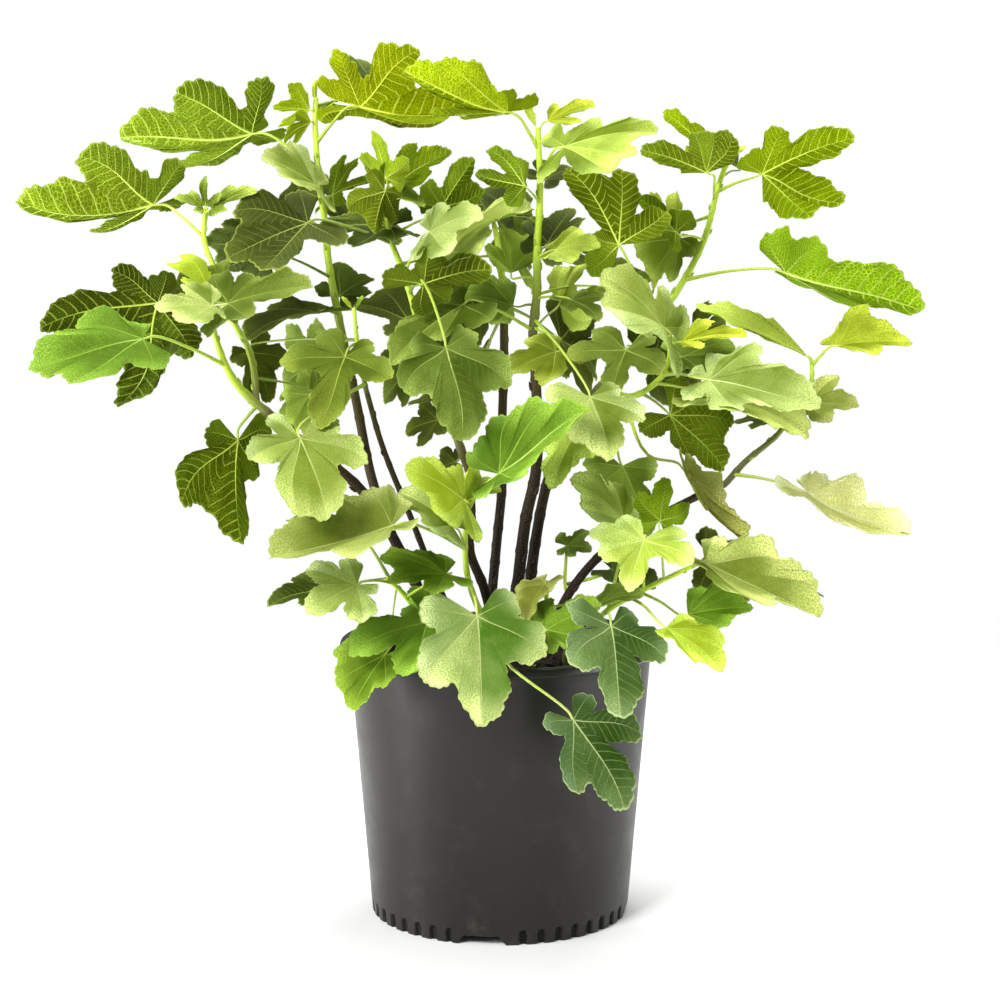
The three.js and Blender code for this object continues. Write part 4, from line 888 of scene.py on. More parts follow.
def sector_shares(leaf, lobes, angles, dice):
    """How pale and how cool the blade is between each two ribs, for points at the angles. The paleness is
    painted light and shade set at random, and on some tones one half is painted lit and the other shaded.
    """
    ribs = [lobe[0] for lobe in lobes]
    middles = [(one + two) / 2 for one, two in zip(ribs, ribs[1:])]
    middles = np.array([ribs[0] - OUTER_FIELD, *middles, ribs[-1] + OUTER_FIELD])
    lean = LIT_HALVES.get(leaf["tone"], 0) * middles
    pale = np.array([dice.uniform(0, 0.9) for _ in middles])
    pale = np.where(lean > 0, 0.6 + 0.4 * pale, np.where(lean < 0, 0.25 * pale, pale))
    cool = np.array([dice.uniform(0, 0.5) for _ in middles]) + COOL_LOBES.get(leaf["tone"], 0)
    cool = cool * (np.abs(middles) > COOL_ANGLE)
    sector = np.searchsorted(ribs, angles)
    return pale[sector], cool[sector]


def shaded(tint, shares):
    """Tint for every point, with the point's share in place of its alpha."""
    return np.column_stack([np.broadcast_to(tint[:3], (len(shares), 3)), shares])


def add_sheet_faces(piece, starts, flat, owners, turns, reaches, offset):
    """Faces of both sides and of the edge of a blade; owners are the lobes of the outline's stretches."""
    upper_start, lower_start = starts
    columns = len(owners) + 1
    rows = (len(flat) - 1) // columns

    def put(corners, owner):
        local = flat[corners]
        turn = turns[owner][:, None]
        forward = local[..., 0] * np.cos(turn) + local[..., 1] * np.sin(turn)
        sideways = local[..., 1] * np.cos(turn) - local[..., 0] * np.sin(turn)
        vein = np.stack([forward, sideways], axis=-1) / reaches[owner][:, None, None]
        place = local / 10 + offset
        piece.add_faces(upper_start + corners, UPPER_SIDE, vein, place)
        piece.add_faces(lower_start + corners[:, ::-1], LOWER_SIDE, vein[:, ::-1], place[:, ::-1])

    def close_edge(one, two):
        corners = [upper_start + one, lower_start + one, lower_start + two, upper_start + two]
        piece.add_faces(np.stack(corners, axis=1), UPPER_SIDE, 0.5, 0.5)

    spoke = np.arange(columns - 1)
    put(fan_corners(0, 1 + spoke, 2 + spoke), owners)
    put(grid_corners(1, rows, columns, False)[:, [0, 3, 2, 1]], np.tile(owners, rows - 1))
    rim = spoke + 1 + (rows - 1) * columns
    first_side = np.concatenate([[0], 1 + np.arange(rows) * columns])
    last_side = first_side + columns - 1
    last_side[0] = 0
    close_edge(rim, rim + 1)
    close_edge(first_side[:-1], first_side[1:])
    close_edge(last_side[1:], last_side[:-1])


def add_ribs(piece, blade, form, lobes, phase, tint):
    """Raised ribs on the lower side of a blade, with turn, reach, bend and droop of every lobe."""
    share = np.linspace(0, RIB_REACH, RIB_POINTS)
    narrow = 1 - RIB_TAPER * np.linspace(0, 1, RIB_POINTS)
    for turn, reach, bend, droop in lobes:
        swung = turn + bend * np.sin(math.pi * share)
        x = share * reach * np.cos(swung)
        y = share * reach * np.sin(swung)
        drop = droop * blade["length"] * share ** 2
        rise = blade_height(x, y, blade, form, phase) - RIB_DEPTH - drop
        radii = RIB_RADIUS * reach * narrow
        add_tube(piece, on_blade(blade, x, y, rise), radii, RIB_SIDES, GREEN_STEM, tint)


def add_blade(piece, leaf, blade, phase, dice):
    """Blade of a leaf as a thin closed sheet with raised ribs on its lower side."""
    length = blade["length"]
    form = leaf["form"]
    size = "big" if length > BIG_LEAF else "small" if length < SMALL_LEAF else "middle"
    spacing, rows = BLADE_DETAIL[size]
    lobes = blade_lobes(leaf, blade)
    outline, edge_owners, places, shares = blade_outline(lobes, form, length, spacing * length, dice)
    columns = len(outline)
    top, top_rib, low, low_rib = side_tints(leaf, dice)
    turns = np.radians([lobe[0] for lobe in lobes])
    reaches = np.array([lobe[1] for lobe in lobes])
    bends = [dice.uniform(-LOBE_SWING, LOBE_SWING) + LOBE_LEAN * np.sign(lobe[0]) for lobe in lobes]
    bends = np.radians(bends)
    droops = np.array([dice.uniform(*LOBE_DROOP) for _ in lobes])
    calm = np.where(np.arange(len(lobes)) == np.argmin(np.abs(turns)), MIDDLE_CALM, 1)
    droops = droops * calm

    # Rows of points from the petiole to the edge, each point bent and cupped with its lobe. A point
    # between two lobes is held back.
    steps = np.linspace(0, 1, rows + 1)[1:] ** ROW_SPREAD
    flat = np.concatenate([np.zeros((1, 2)), (steps[:, None, None] * outline).reshape(-1, 2)])
    margin = np.concatenate([[0], np.repeat(steps, columns)])
    along_edge = np.concatenate([[0], np.tile(places, rows)])
    lobe_of = np.concatenate([[0], np.tile(edge_owners, rows)])
    hold = np.concatenate([[0], np.tile(1 - shares ** 4, rows)])
    turn = turns[lobe_of]
    out = np.minimum(np.hypot(flat[:, 0], flat[:, 1]) / reaches[lobe_of], 1)
    bend = bends[lobe_of] * np.sin(math.pi * out) * hold
    x = flat[:, 0] * np.cos(bend) - flat[:, 1] * np.sin(bend)
    y = flat[:, 0] * np.sin(bend) + flat[:, 1] * np.cos(bend)
    aside = np.abs(flat[:, 1] * np.cos(turn) - flat[:, 0] * np.sin(turn))
    ripple = RIPPLE_HEIGHT * length * margin ** 3
    ripple = ripple * np.sin(along_edge * 2 * math.pi / (RIPPLE_PITCH * length) + phase)
    cup = LOBE_CUP * aside * calm[lobe_of] - droops[lobe_of] * length * out ** 2 * hold
    height = blade_height(x, y, blade, form, phase) + ripple + cup
    half = (BLADE_THICKNESS - EDGE_THINNING * margin) / 2
    # Paleness between the ribs is painted light and shade; it rides in the alpha of the tints
    pale, cool = sector_shares(leaf, lobes, np.degrees(np.arctan2(flat[:, 1], flat[:, 0])), dice)
    starts = []
    for tint, rib, rise in ((top, top_rib, height + half), (low, low_rib, height - half)):
        looks = [shaded(tint, pale), shaded(rib, cool * margin), margin]
        starts.append(piece.add_points(on_blade(blade, x, y, rise), *looks))
    offset = np.array([dice.uniform(0, 40), dice.uniform(0, 40)])
    add_sheet_faces(piece, starts, flat, edge_owners[:-1], turns, reaches, offset)
    add_ribs(piece, blade, form, zip(turns, reaches, bends, droops), phase, low_rib)


def petiole_line(leaf, blade, root):
    """Middle line of a petiole, from inside the stem to the blade."""
    span = np.linalg.norm(blade["origin"] - root)
    entry = blade["origin"] - blade["along"] * min(0.1 * blade["length"], 0.3 * span)
    middle = (root + entry) / 2 + np.array([0, 0, PETIOLE_RISE * span])
    if leaf["via"]:
        middle = sight(leaf["via"])
    if span > SHORT_PETIOLE or leaf["via"]:
        return smooth([root, middle, entry, blade["origin"]], 5)
    return smooth([root, entry, blade["origin"]], 3)


def add_petiole(piece, leaf, blade, stem_line):
    """Petiole from the nearest point of the stem, in the stem's green at first, then in that of the ribs;
    that green is darker as painted shade on leaves in shaded tones.
    """
    distance = np.linalg.norm(seen(stem_line) - np.array(leaf["joint"]), axis=1)
    line = petiole_line(leaf, blade, stem_line[distance.argmin()])
    width = min(PETIOLE_WIDTH, 0.026 * blade["length"] + 0.7)
    share = np.linspace(0, 1, len(line))
    radii = width / 2 * (1 + 0.5 * (1 - share) ** 4 - 0.25 * share)
    ribs = [colour(code) for code in TONES[leaf["tone"]]][1::2]
    bright = (ribs[0] + ribs[1]) / 2 * np.array([0.85, 0.85, 0.6, 1])
    stem = colour(PETIOLE_SHADED if leaf["tone"] in SHADED_TONES else PETIOLE_LIT)
    tints = stem * (1 - share[:, None]) + bright * share[:, None]
    add_tube(piece, line, radii, PETIOLE_SIDES, GREEN_STEM, tints)


def stem_end(places):
    """Direction of the last stretch of a stem, from its end back."""
    coarse = smooth(places, 1)
    return unit(coarse[-2] - coarse[-1])


def rooted_points(foot, path):
    """Places of a stem that stands in the soil: straight in its hole, then to the listed places."""
    rises = [-STEM_DEPTH, 0, SOIL_CROWN + STRAIGHT_RISE]
    in_hole = [np.array([*foot, SOIL_TOP + rise], dtype=float) for rise in rises]
    return [*in_hole, *[sight(place) for place in path]]


def stem_radii(line, ends, node_pitch, swell, phase):
    """Radii along a stem that narrows upwards and swells at its nodes."""
    length = run_length(line)
    share = length / length[-1]
    beat = (length + phase) / node_pitch
    near = np.abs(beat - np.round(beat)) * node_pitch
    plain = ends[0] + (ends[1] - ends[0]) * share
    return plain * (1 + swell * np.exp(-(near / NODE_REACH) ** 2)), share


def even_line(places):
    """Smooth line through places, with points at even distances."""
    line = smooth(places, 10)
    length = run_length(line)
    goals = np.linspace(0, length[-1], max(2, round(length[-1] / STEM_STEP)))
    return np.stack([np.interp(goals, length, line[:, axis]) for axis in range(3)], axis=1)


def grade(share, stops):
    """Colours along a stem from [share, hex code] stops."""
    places = [stop[0] for stop in stops]
    codes = np.array([colour(stop[1]) for stop in stops])
    return np.stack([np.interp(share, places, codes[:, channel]) for channel in range(4)], axis=1)


def add_buds(piece, line, radii, first, pitch, kind, tint, dice):
    """Small pointed buds above the leaf scars, on alternate sides of a stem."""
    length = run_length(line)
    turn = dice.uniform(0, 6)
    place = first
    while place < length[-1] - BUD_END:
        spot = np.array([np.interp(place, length, line[:, axis]) for axis in range(3)])
        index = int(np.searchsorted(length, place))
        along = unit(line[min(index + 1, len(line) - 1)] - line[index - 1])
        side = unit(np.cross(along, np.array([math.cos(turn), math.sin(turn), 0.2])))
        radius = radii[index]
        bud = [
            spot + side * radius * out + along * rise * radius * BUD_STRETCH
            for out, rise, _ in BUD_SHAPE
        ]
        add_tube(piece, bud, [radius * thick for _, _, thick in BUD_SHAPE], BUD_SIDES, kind, tint)
        place += pitch
        turn += math.pi + dice.uniform(-0.5, 0.5)


class Paint:
    """One material and the shader nodes that colour it."""

    def __init__(self, name):
        self.material = bpy.data.materials.new(name)
        self.material.use_nodes = True
        self.tree = self.material.node_tree
        self.tree.nodes.clear()

    def add(self, kind, inputs, **settings):
        node = self.tree.nodes.new(kind)
        for key, value in settings.items():
            setattr(node, key, value)
        for key, value in inputs.items():
            if isinstance(value, bpy.types.NodeSocket):
                self.tree.links.new(value, node.inputs[key])
            else:
                node.inputs[key].default_value = value
        return node

    def maths(self, operation, *values):
        return self.add("ShaderNodeMath", dict(enumerate(values)), operation=operation).outputs[0]

    def times(self, first, second):
        return self.maths("MULTIPLY", first, second)

    def times_plus(self, value, gain, start):
        return self.maths("MULTIPLY_ADD", value, gain, start)

    def ramp(self, value, low, high, start=0.0, end=1.0):
        """Value brought from low..high to start..end with soft ends."""
        inputs = {"Value": value, "From Min": low, "From Max": high, "To Min": start, "To Max": end}
        return self.add("ShaderNodeMapRange", inputs, interpolation_type="SMOOTHSTEP").outputs[0]

    def blend(self, share, first, second, blend_type="MIX"):
        inputs = {"Factor": share, 6: first, 7: second}
        settings = {"data_type": "RGBA", "blend_type": blend_type, "clamp_factor": True}
        return self.add("ShaderNodeMix", inputs, **settings).outputs[2]

    def bright(self, tint, value):
        """Tint made lighter or darker by a value round 1."""
        grey = self.add("ShaderNodeCombineColor", {0: value, 1: value, 2: value}).outputs[0]
        return self.blend(1.0, tint, grey, "MULTIPLY")

    def value(self, name, output="Color"):
        return self.add("ShaderNodeAttribute", {}, attribute_name=name).outputs[output]

    def places(self, name):
        return self.add("ShaderNodeUVMap", {}, uv_map=name).outputs[0]

    def stretched(self, places, scale):
        return self.add("ShaderNodeMapping", {"Vector": places, "Scale": scale}).outputs[0]

    def parts(self, places):
        return self.add("ShaderNodeSeparateXYZ", {0: places}).outputs

    def vector(self, operation, *values, output=0):
        return self.add("ShaderNodeVectorMath", dict(enumerate(values)), operation=operation).outputs[output]

    def noise(self, places, scale, detail=2.0, rough=0.5):
        inputs = {"Vector": places, "Scale": scale, "Detail": detail, "Roughness": rough}
        return self.add("ShaderNodeTexNoise", inputs).outputs[0]

    def cells(self, places, scale, feature="F1", scatter=1.0):
        inputs = {"Vector": places, "Scale": scale, "Randomness": scatter}
        settings = {"feature": feature, "voronoi_dimensions": "2D"}
        return self.add("ShaderNodeTexVoronoi", inputs, **settings).outputs[0]

    def bump(self, height, strength, distance):
        inputs = {"Height": height, "Strength": strength, "Distance": distance}
        return self.add("ShaderNodeBump", inputs).outputs[0]

    def surface(self, skin, roughness, specular, normal):
        inputs = {"Base Color": skin, "Roughness": roughness, "Specular IOR Level": specular}
        return self.add("ShaderNodeBsdfPrincipled", {**inputs, "Normal": normal}).outputs[0]

    def finish(self, shader):
        self.add("ShaderNodeOutputMaterial", {"Surface": shader})
        return self.material


def main_rib(paint, forward, across, widest):
    """Middle rib of a lobe, which narrows to the tip."""
    half = paint.maths("MAXIMUM", paint.times_plus(forward, -0.85 * widest, widest), 0.0018)
    aside = paint.maths("DIVIDE", paint.maths("ABSOLUTE", across), half)
    return paint.ramp(aside, 0.7, 1.6, 1.0, 0.0)


def side_ribs(paint, forward, across, places):
    """Ribs that leave the middle rib at an angle and bend to the tip, distance from them, and rank."""
    aside = paint.maths("ABSOLUTE", across)
    lean = paint.times(aside, paint.times_plus(aside, 1.3, 0.5))
    rank = paint.maths("SUBTRACT", forward, lean)
    bent = paint.times_plus(paint.noise(places, 0.5), 0.06, rank)
    beat = paint.times_plus(bent, 10.5, paint.times(paint.maths("SIGN", across), 0.22))
    beat = paint.maths("ABSOLUTE", paint.maths("SUBTRACT", paint.maths("FRACT", beat), 0.5))
    half = paint.maths("MAXIMUM", paint.times_plus(aside, -0.09, 0.06), 0.022)
    ribs = paint.ramp(paint.maths("DIVIDE", beat, half), 0.5, 1.7, 1.0, 0.0)
    return paint.times(ribs, paint.ramp(rank, 0.02, 0.07)), beat, rank


def vein_nets(paint, rank, across, places):
    """Net of small veins that joins the side ribs, and a finer net inside it."""
    cell = {0: paint.times(rank, 19.0), 1: paint.times(across, 42.0)}
    cell = paint.vector("ADD", paint.add("ShaderNodeCombineXYZ", cell).outputs[0], places)
    net = paint.ramp(paint.cells(cell, 1.0, "DISTANCE_TO_EDGE"), 0.04, 0.17, 1.0, 0.0)
    fine_net = paint.ramp(paint.cells(cell, 2.3, "DISTANCE_TO_EDGE"), 0.04, 0.2, 1.0, 0.0)
    return net, fine_net


def leaf_material(name, side):
    """Blade of a leaf: ribs, nets of veins, pale and dark parts painted as light and shade, a grain, and
    light that shines through.
    """
    paint = Paint(name)
    places = paint.places("blade")
    forward, across = paint.parts(paint.places("veins"))[:2]
    edge = paint.value("edge", "Fac")
    tint = paint.value("tint")
    rib = paint.value("rib")
    lightness = paint.value("tint", "Fac")
    main = main_rib(paint, forward, across, side["rib_width"])
    ribs, beat, rank = side_ribs(paint, forward, across, places)
    net, fine_net = vein_nets(paint, rank, across, places)

    # Pale parts: painted light and shade over whole fields between two ribs and in cloudy patches, and the
    # paler tips of lobes; then the cool film
    lit_clouds = paint.ramp(paint.noise(places, 0.33, 3.0), 0.34, 0.66)
    fields = paint.times(paint.value("tint", "Alpha"), side["sectors"])
    pale = paint.times_plus(lit_clouds, side["patches"], fields)
    tips = paint.ramp(forward, 0.55, 1.0, 0.0, side["tips"])
    pale = paint.times_plus(tips, paint.ramp(edge, 0.3, 0.9), pale)
    skin = paint.blend(paint.times(pale, paint.ramp(lightness, *side["pale"])), tint, rib)
    film = paint.blend(1.0, skin, COOL_FILM, "MULTIPLY")
    skin = paint.blend(paint.times(paint.value("rib", "Alpha"), 0.5), skin, film)

    # Lightness: the painted light and shade of the pale parts, a grain that is coarser where the blade is
    # pale, and the nets
    grain = paint.ramp(paint.noise(places, 8.0, 3.0, 0.6), 0.36, 0.64, -1.0, 1.0)
    depth = paint.times_plus(pale, 0.25, side["grain"])
    level = paint.times_plus(pale, side["light"], side["dark"])
    level = paint.times(level, paint.times_plus(grain, depth, 1.0))
    strength = paint.ramp(paint.noise(places, 0.6), 0.3, 0.6, 0.35, 1.0)
    fine_lines = paint.times(fine_net, side["fine_net"])
    lines = paint.times_plus(net, paint.ramp(lightness, *side["net"]), fine_lines)
    skin = paint.bright(skin, paint.times(level, paint.times_plus(lines, strength, 1.0)))

    # Ribs and the thin pale rim: a pale margin with a painted highlight, which on the upper side grows with
    # the painted paleness
    clear = paint.times(paint.ramp(lightness, *side["side_ribs"]), paint.times_plus(pale, -0.5, 1.0))
    skin = paint.blend(paint.times(ribs, clear), skin, rib)
    skin = paint.blend(paint.times(main, side["main_rib"]), skin, rib)
    rim = paint.times(paint.ramp(edge, 0.965, 0.985), paint.times_plus(pale, *side["rim"]))
    skin = paint.blend(rim, skin, rib)

    # Relief: lines stand out below and are sunk above, with the skin puffed up between them
    relief = paint.maths("MAXIMUM", main, paint.times(ribs, 0.7))
    relief = paint.maths("MAXIMUM", relief, paint.times(net, 0.35))
    puff = paint.times(paint.maths("SUBTRACT", 0.5, beat), -0.5)
    height = paint.times_plus(relief, side["relief"], paint.times(puff, side["relief"]))
    normal = paint.bump(paint.times_plus(grain, 0.25, height), 0.6, 0.0007)
    glow = paint.blend(0.5, skin, (0.5, 0.6, 0.015, 1.0))
    through = paint.add("ShaderNodeBsdfTranslucent", {"Color": glow, "Normal": normal}).outputs[0]
    surface = paint.surface(skin, side["roughness"], side["specular"], normal)
    return paint.finish(paint.add("ShaderNodeMixShader", {0: 0.4, 1: surface, 2: through}).outputs[0])


def green_stem_material():
    """Green stems, petioles and ribs: fine lengthwise streaks and pale specks."""
    paint = Paint("fig_green_stem")
    places = paint.places("blade")
    streaks = paint.noise(paint.stretched(places, (9.0, 0.9, 1.0)), 2.0, 3.0)
    specks = paint.ramp(paint.cells(places, 7.0), 0.08, 0.2, 1.0, 0.0)
    skin = paint.bright(paint.value("tint"), paint.ramp(streaks, 0.3, 0.7, 0.82, 1.16))
    skin = paint.blend(paint.times(specks, 0.3), skin, (0.55, 0.58, 0.25, 1.0))
    normal = paint.bump(paint.times_plus(specks, 0.4, streaks), 0.3, 0.0003)
    return paint.finish(paint.surface(skin, 0.48, 0.4, normal))


def bark_material():
    """Smooth dark bark: lengthwise streaks and pale lenticels."""
    paint = Paint("fig_bark")
    places = paint.places("blade")
    streaks = paint.noise(paint.stretched(places, (4.0, 0.8, 1.0)), 2.2, 5.0, 0.65)
    spots = paint.cells(paint.stretched(places, (1.0, 2.6, 1.0)), 2.6, scatter=0.9)
    spots = paint.ramp(spots, 0.1, 0.2, 1.0, 0.0)
    skin = paint.bright(paint.value("tint"), paint.ramp(streaks, 0.3, 0.72, 0.6, 1.55))
    skin = paint.blend(paint.times(spots, 0.45), skin, (0.19, 0.14, 0.08, 1.0))
    normal = paint.bump(paint.times_plus(spots, 0.8, streaks), 0.6, 0.0006)
    return paint.finish(paint.surface(skin, 0.65, 0.18, normal))


def pot_material():
    """Moulded black plastic: satin, with flow marks, fine grain, dust near the foot and painted shade in the
    flutes.
    """
    paint = Paint("pot_plastic")
    spot = paint.add("ShaderNodeTexCoord", {}).outputs["Object"]
    flow = paint.noise(paint.stretched(spot, (9.0, 9.0, 1.2)), 1.0, 3.0)
    scuffs = paint.noise(spot, 38.0, 5.0, 0.7)
    height = paint.parts(spot)[2]
    foot = paint.ramp(height, 0.0, 0.03, 1.0, 0.0)
    dust = paint.times(paint.ramp(scuffs, 0.5, 0.75), paint.times_plus(foot, 0.35, 0.1))
    skin = paint.blend(paint.ramp(flow, 0.3, 0.7), (0.0085, 0.007, 0.0055, 1.0), (0.013, 0.011, 0.0085, 1.0))
    skin = paint.blend(dust, skin, (0.08, 0.075, 0.06, 1.0))
    radius = paint.vector("LENGTH", paint.vector("MULTIPLY", spot, (1.0, 1.0, 0.0)), output=1)
    slope = (WALL_TOP_RADIUS - WALL_FOOT_RADIUS) / POT_HEIGHT
    sunk = paint.maths("SUBTRACT", paint.times_plus(height, slope, WALL_FOOT_RADIUS * MILLIMETRE), radius)
    # Painted shade: the sunk flutes round the foot are darkened, and also made rougher
    niche = paint.ramp(sunk, 0.2 * FLUTE_DEPTH * MILLIMETRE, 0.8 * FLUTE_DEPTH * MILLIMETRE)
    niche = paint.times(niche, paint.ramp(height, 0.014, 0.018, 1.0, 0.0))
    skin = paint.bright(skin, paint.times_plus(niche, -0.85, 1.0))
    rough = paint.ramp(paint.maths("ADD", scuffs, paint.times(flow, 0.5)), 0.5, 1.0, 0.3, 0.42)
    rough = paint.times_plus(niche, 0.45, rough)
    normal = paint.bump(paint.noise(spot, 900.0), 0.12, 0.0003)
    return paint.finish(paint.surface(skin, rough, 0.27, normal))


def crumb_material(name, speckle, roughness):
    """Soil, bark chips or perlite: the tint of each crumb with a speckled grain."""
    paint = Paint(name)
    spot = paint.add("ShaderNodeTexCoord", {}).outputs["Object"]
    grain = paint.noise(spot, 420.0, 5.0, 0.75)
    skin = paint.bright(paint.value("tint"), paint.ramp(grain, 0.3, 0.7, 1 - speckle, 1 + speckle))
    return paint.finish(paint.surface(skin, roughness, 0.3, paint.bump(grain, 0.8, 0.0012)))


def wall_radius(z):
    return WALL_FOOT_RADIUS + (WALL_TOP_RADIUS - WALL_FOOT_RADIUS) * z / POT_HEIGHT


def angle_between(one, two):
    return (one - two + 180) % 360 - 180


def pot_profile():
    """Radius and height of the pot's section, from the axis under it round the rim to the axis inside."""
    lip = POT_HEIGHT - RIM_DROP
    ring = WALL_FOOT_RADIUS - FOOT_RING_WIDTH
    under_floor = FLOOR_RAISE - 3
    mouth = wall_radius(POT_HEIGHT - 2.5) - WALL_THICKNESS
    foot = [[0, 0], [PAD_MIDDLE_RADIUS, 0], [CENTRE_PAD_RADIUS - 1, 0], [CENTRE_PAD_RADIUS, 0.6]]
    foot += [[CENTRE_PAD_RADIUS + 3, under_floor], [DRAIN_INNER_RADIUS, under_floor]]
    foot += [[DRAIN_OUTER_RADIUS, under_floor], [ring - 3, under_floor]]
    foot += [[ring, 0.6], [ring + 1, 0], [WALL_FOOT_RADIUS - 1, 0], [WALL_FOOT_RADIUS, 0.8]]
    heights = [2, 3.5, 5, 6.5, 8, 9.5, 11, 12.2, 13.4, 14.6, 17, 25, *np.linspace(40, lip - 8, 12), lip - 3]
    wall = [[wall_radius(z), z] for z in heights]
    rim = [[wall_radius(lip) + 0.3, lip - 0.6], [RIM_RADIUS - 3.5, lip - 0.8], [RIM_RADIUS - 1.3, lip]]
    rim += [[RIM_RADIUS, lip + 1.6], [RIM_RADIUS, POT_HEIGHT - 2.6], [RIM_RADIUS - 0.9, POT_HEIGHT - 0.7]]
    rim += [[RIM_RADIUS - 2.6, POT_HEIGHT], [mouth + 2.2, POT_HEIGHT]]
    rim += [[mouth + 0.8, POT_HEIGHT - 0.8], [mouth, POT_HEIGHT - 2.5]]
    inner = [[wall_radius(z) - WALL_THICKNESS, z] for z in (236, 228, 200, 150, 100, 50, 14)]
    radii = [wall_radius(FLOOR_RAISE) - WALL_THICKNESS - 2, DRAIN_OUTER_RADIUS, DRAIN_INNER_RADIUS]
    floor = [[radius, FLOOR_RAISE] for radius in (*radii, PAD_MIDDLE_RADIUS, 0)]
    return np.array([*foot, *wall, *rim, *inner, *floor], dtype=float)


def cut_drains(pot):
    """Holes in the pot's floor."""
    shape = bmesh.new()
    radius = DRAIN_RADIUS * MILLIMETRE
    for index in range(DRAIN_COUNT):
        turn = 2 * math.pi * (index + 0.5) / DRAIN_COUNT
        made = bmesh.ops.create_cone(shape, cap_ends=True, segments=32, radius1=radius, radius2=radius,
                                     depth=3 * FLOOR_RAISE * MILLIMETRE)
        spot = Vector((math.cos(turn), math.sin(turn), 0)) * DRAIN_RING_RADIUS + Vector((0, 0, FLOOR_RAISE))
        bmesh.ops.translate(shape, verts=made["verts"], vec=spot * MILLIMETRE)
    cutter_mesh = bpy.data.meshes.new("drain_cutters")
    shape.to_mesh(cutter_mesh)
    shape.free()
    cutter = add_object("drain_cutters", cutter_mesh)
    cut = pot.modifiers.new("drains", "BOOLEAN")
    cut.object = cutter
    cut.operation = "DIFFERENCE"
    cut.solver = "EXACT"
    view = bpy.context.evaluated_depsgraph_get()
    pot.data = bpy.data.meshes.new_from_object(pot.evaluated_get(view))
    pot.modifiers.clear()
    bpy.data.objects.remove(cutter)


def make_pot(material):
    """Thin pot with a rolled lip, arched niches round its foot, foot notches and drain holes."""
    profile = pot_profile()
    rows = len(profile)
    turns = np.linspace(0, 360, POT_COLUMNS, endpoint=False)
    radius = np.repeat(profile[:, :1], POT_COLUMNS, axis=1)
    height = np.repeat(profile[:, 1:], POT_COLUMNS, axis=1)
    outer = (radius > wall_radius(height) - WALL_THICKNESS / 2) & (height < FLUTE_ZONE)
    away = np.min([np.abs(angle_between(turns, angle)) for angle in NOTCH_ANGLES], axis=0)
    away = away * math.pi / 180 * WALL_FOOT_RADIUS
    arc = turns * math.pi / 180 * WALL_FOOT_RADIUS
    pitch = 2 * math.pi * WALL_FOOT_RADIUS / FLUTE_COUNT
    lateral = np.abs((arc + pitch / 2) % pitch - pitch / 2) / FLUTE_HALF_WIDTH
    above = np.maximum(height - (FLUTE_HEIGHT - FLUTE_HALF_WIDTH), 0) / FLUTE_HALF_WIDTH
    depth = np.clip((FLUTE_REACH - np.hypot(lateral[None, :], above)) * FLUTE_STEEPNESS, 0, 1)
    depth = depth * (away > NOTCH_WIDTH / 2 + NOTCH_CLEAR)[None, :] * outer
    radius = radius - FLUTE_DEPTH * depth
    notch = NOTCH_HEIGHT * np.clip((NOTCH_WIDTH / 2 - away) / NOTCH_RAMP, 0, 1)
    first_half = (np.arange(rows) < rows / 2)[:, None]
    ring = (radius > WALL_FOOT_RADIUS - FOOT_RING_WIDTH - 4) & (height < NOTCH_ZONE) & first_half
    height = np.where(ring, np.maximum(height, notch[None, :]), height)
    angle = np.radians(turns)
    points = np.stack([radius * np.cos(angle), radius * np.sin(angle), height], axis=-1)
    points = np.concatenate([points[1:-1].reshape(-1, 3), points[0, :1], points[-1, :1]])
    column = np.arange(POT_COLUMNS)
    after = (column + 1) % POT_COLUMNS
    centre = (rows - 2) * POT_COLUMNS
    last = centre - POT_COLUMNS
    walls = grid_corners(0, rows - 2, POT_COLUMNS, True).tolist()
    bottom = fan_corners(centre, after, column).tolist()
    inside = fan_corners(centre + 1, last + column, last + after).tolist()
    mesh = bpy.data.meshes.new("pot_shell")
    mesh.from_pydata((points * MILLIMETRE).tolist(), [], [*walls, *bottom, *inside])
    mesh.materials.append(material)
    pot = add_object("pot_shell", mesh)
    cut_drains(pot)
    pot.data.shade_smooth()
    pot.data.set_sharp_from_angle(angle=math.radians(35))
    return pot


def crumb_shape():
    """Points and faces of a small ball."""
    shape = bmesh.new()
    bmesh.ops.create_icosphere(shape, subdivisions=1, radius=1.0)
    points = np.array([vertex.co[:] for vertex in shape.verts])
    faces = np.array([[vertex.index for vertex in face.verts] for face in shape.faces])
    shape.free()
    return points, faces


def turn_matrix(dice):
    """Random turn, mostly near level for its first axis."""
    one = unit(np.array([dice.gauss(0, 1), dice.gauss(0, 1), dice.gauss(0, 0.5)]))
    two = np.array([dice.gauss(0, 1), dice.gauss(0, 1), dice.gauss(0, 1)])
    two = unit(two - one * (one @ two))
    return np.array([one, two, np.cross(one, two)])


def add_crumbs(piece, count, sizes, squash, kind, tints, dice):
    """Crumbs strewn over the soil, each a dented ball of its own size and turn."""
    points, faces = crumb_shape()
    reach = wall_radius(SOIL_TOP) - WALL_THICKNESS - GAP
    for _ in range(count):
        size = dice.uniform(*sizes)
        turn = dice.uniform(0, 2 * math.pi)
        away = (reach - size - 0.5) * math.sqrt(dice.random())
        dents = np.array([dice.uniform(0.7, 1.25) for _ in points])
        stretch = np.array([1.0, dice.uniform(*squash), dice.uniform(*squash) * 0.7])
        spots = points * dents[:, None] * stretch * size @ turn_matrix(dice)
        rise = SOIL_TOP + SOIL_CROWN * (1 - (away / reach) ** 2) - 0.8 + dice.uniform(-0.3, 0.5) * size
        spots = spots + np.array([away * math.cos(turn), away * math.sin(turn), rise])
        tint = colour(dice.choice(tints)) * dice.uniform(0.7, 1.3)
        start = piece.add_points(spots, tint, tint, 0.0)
        piece.add_faces(start + faces, kind)


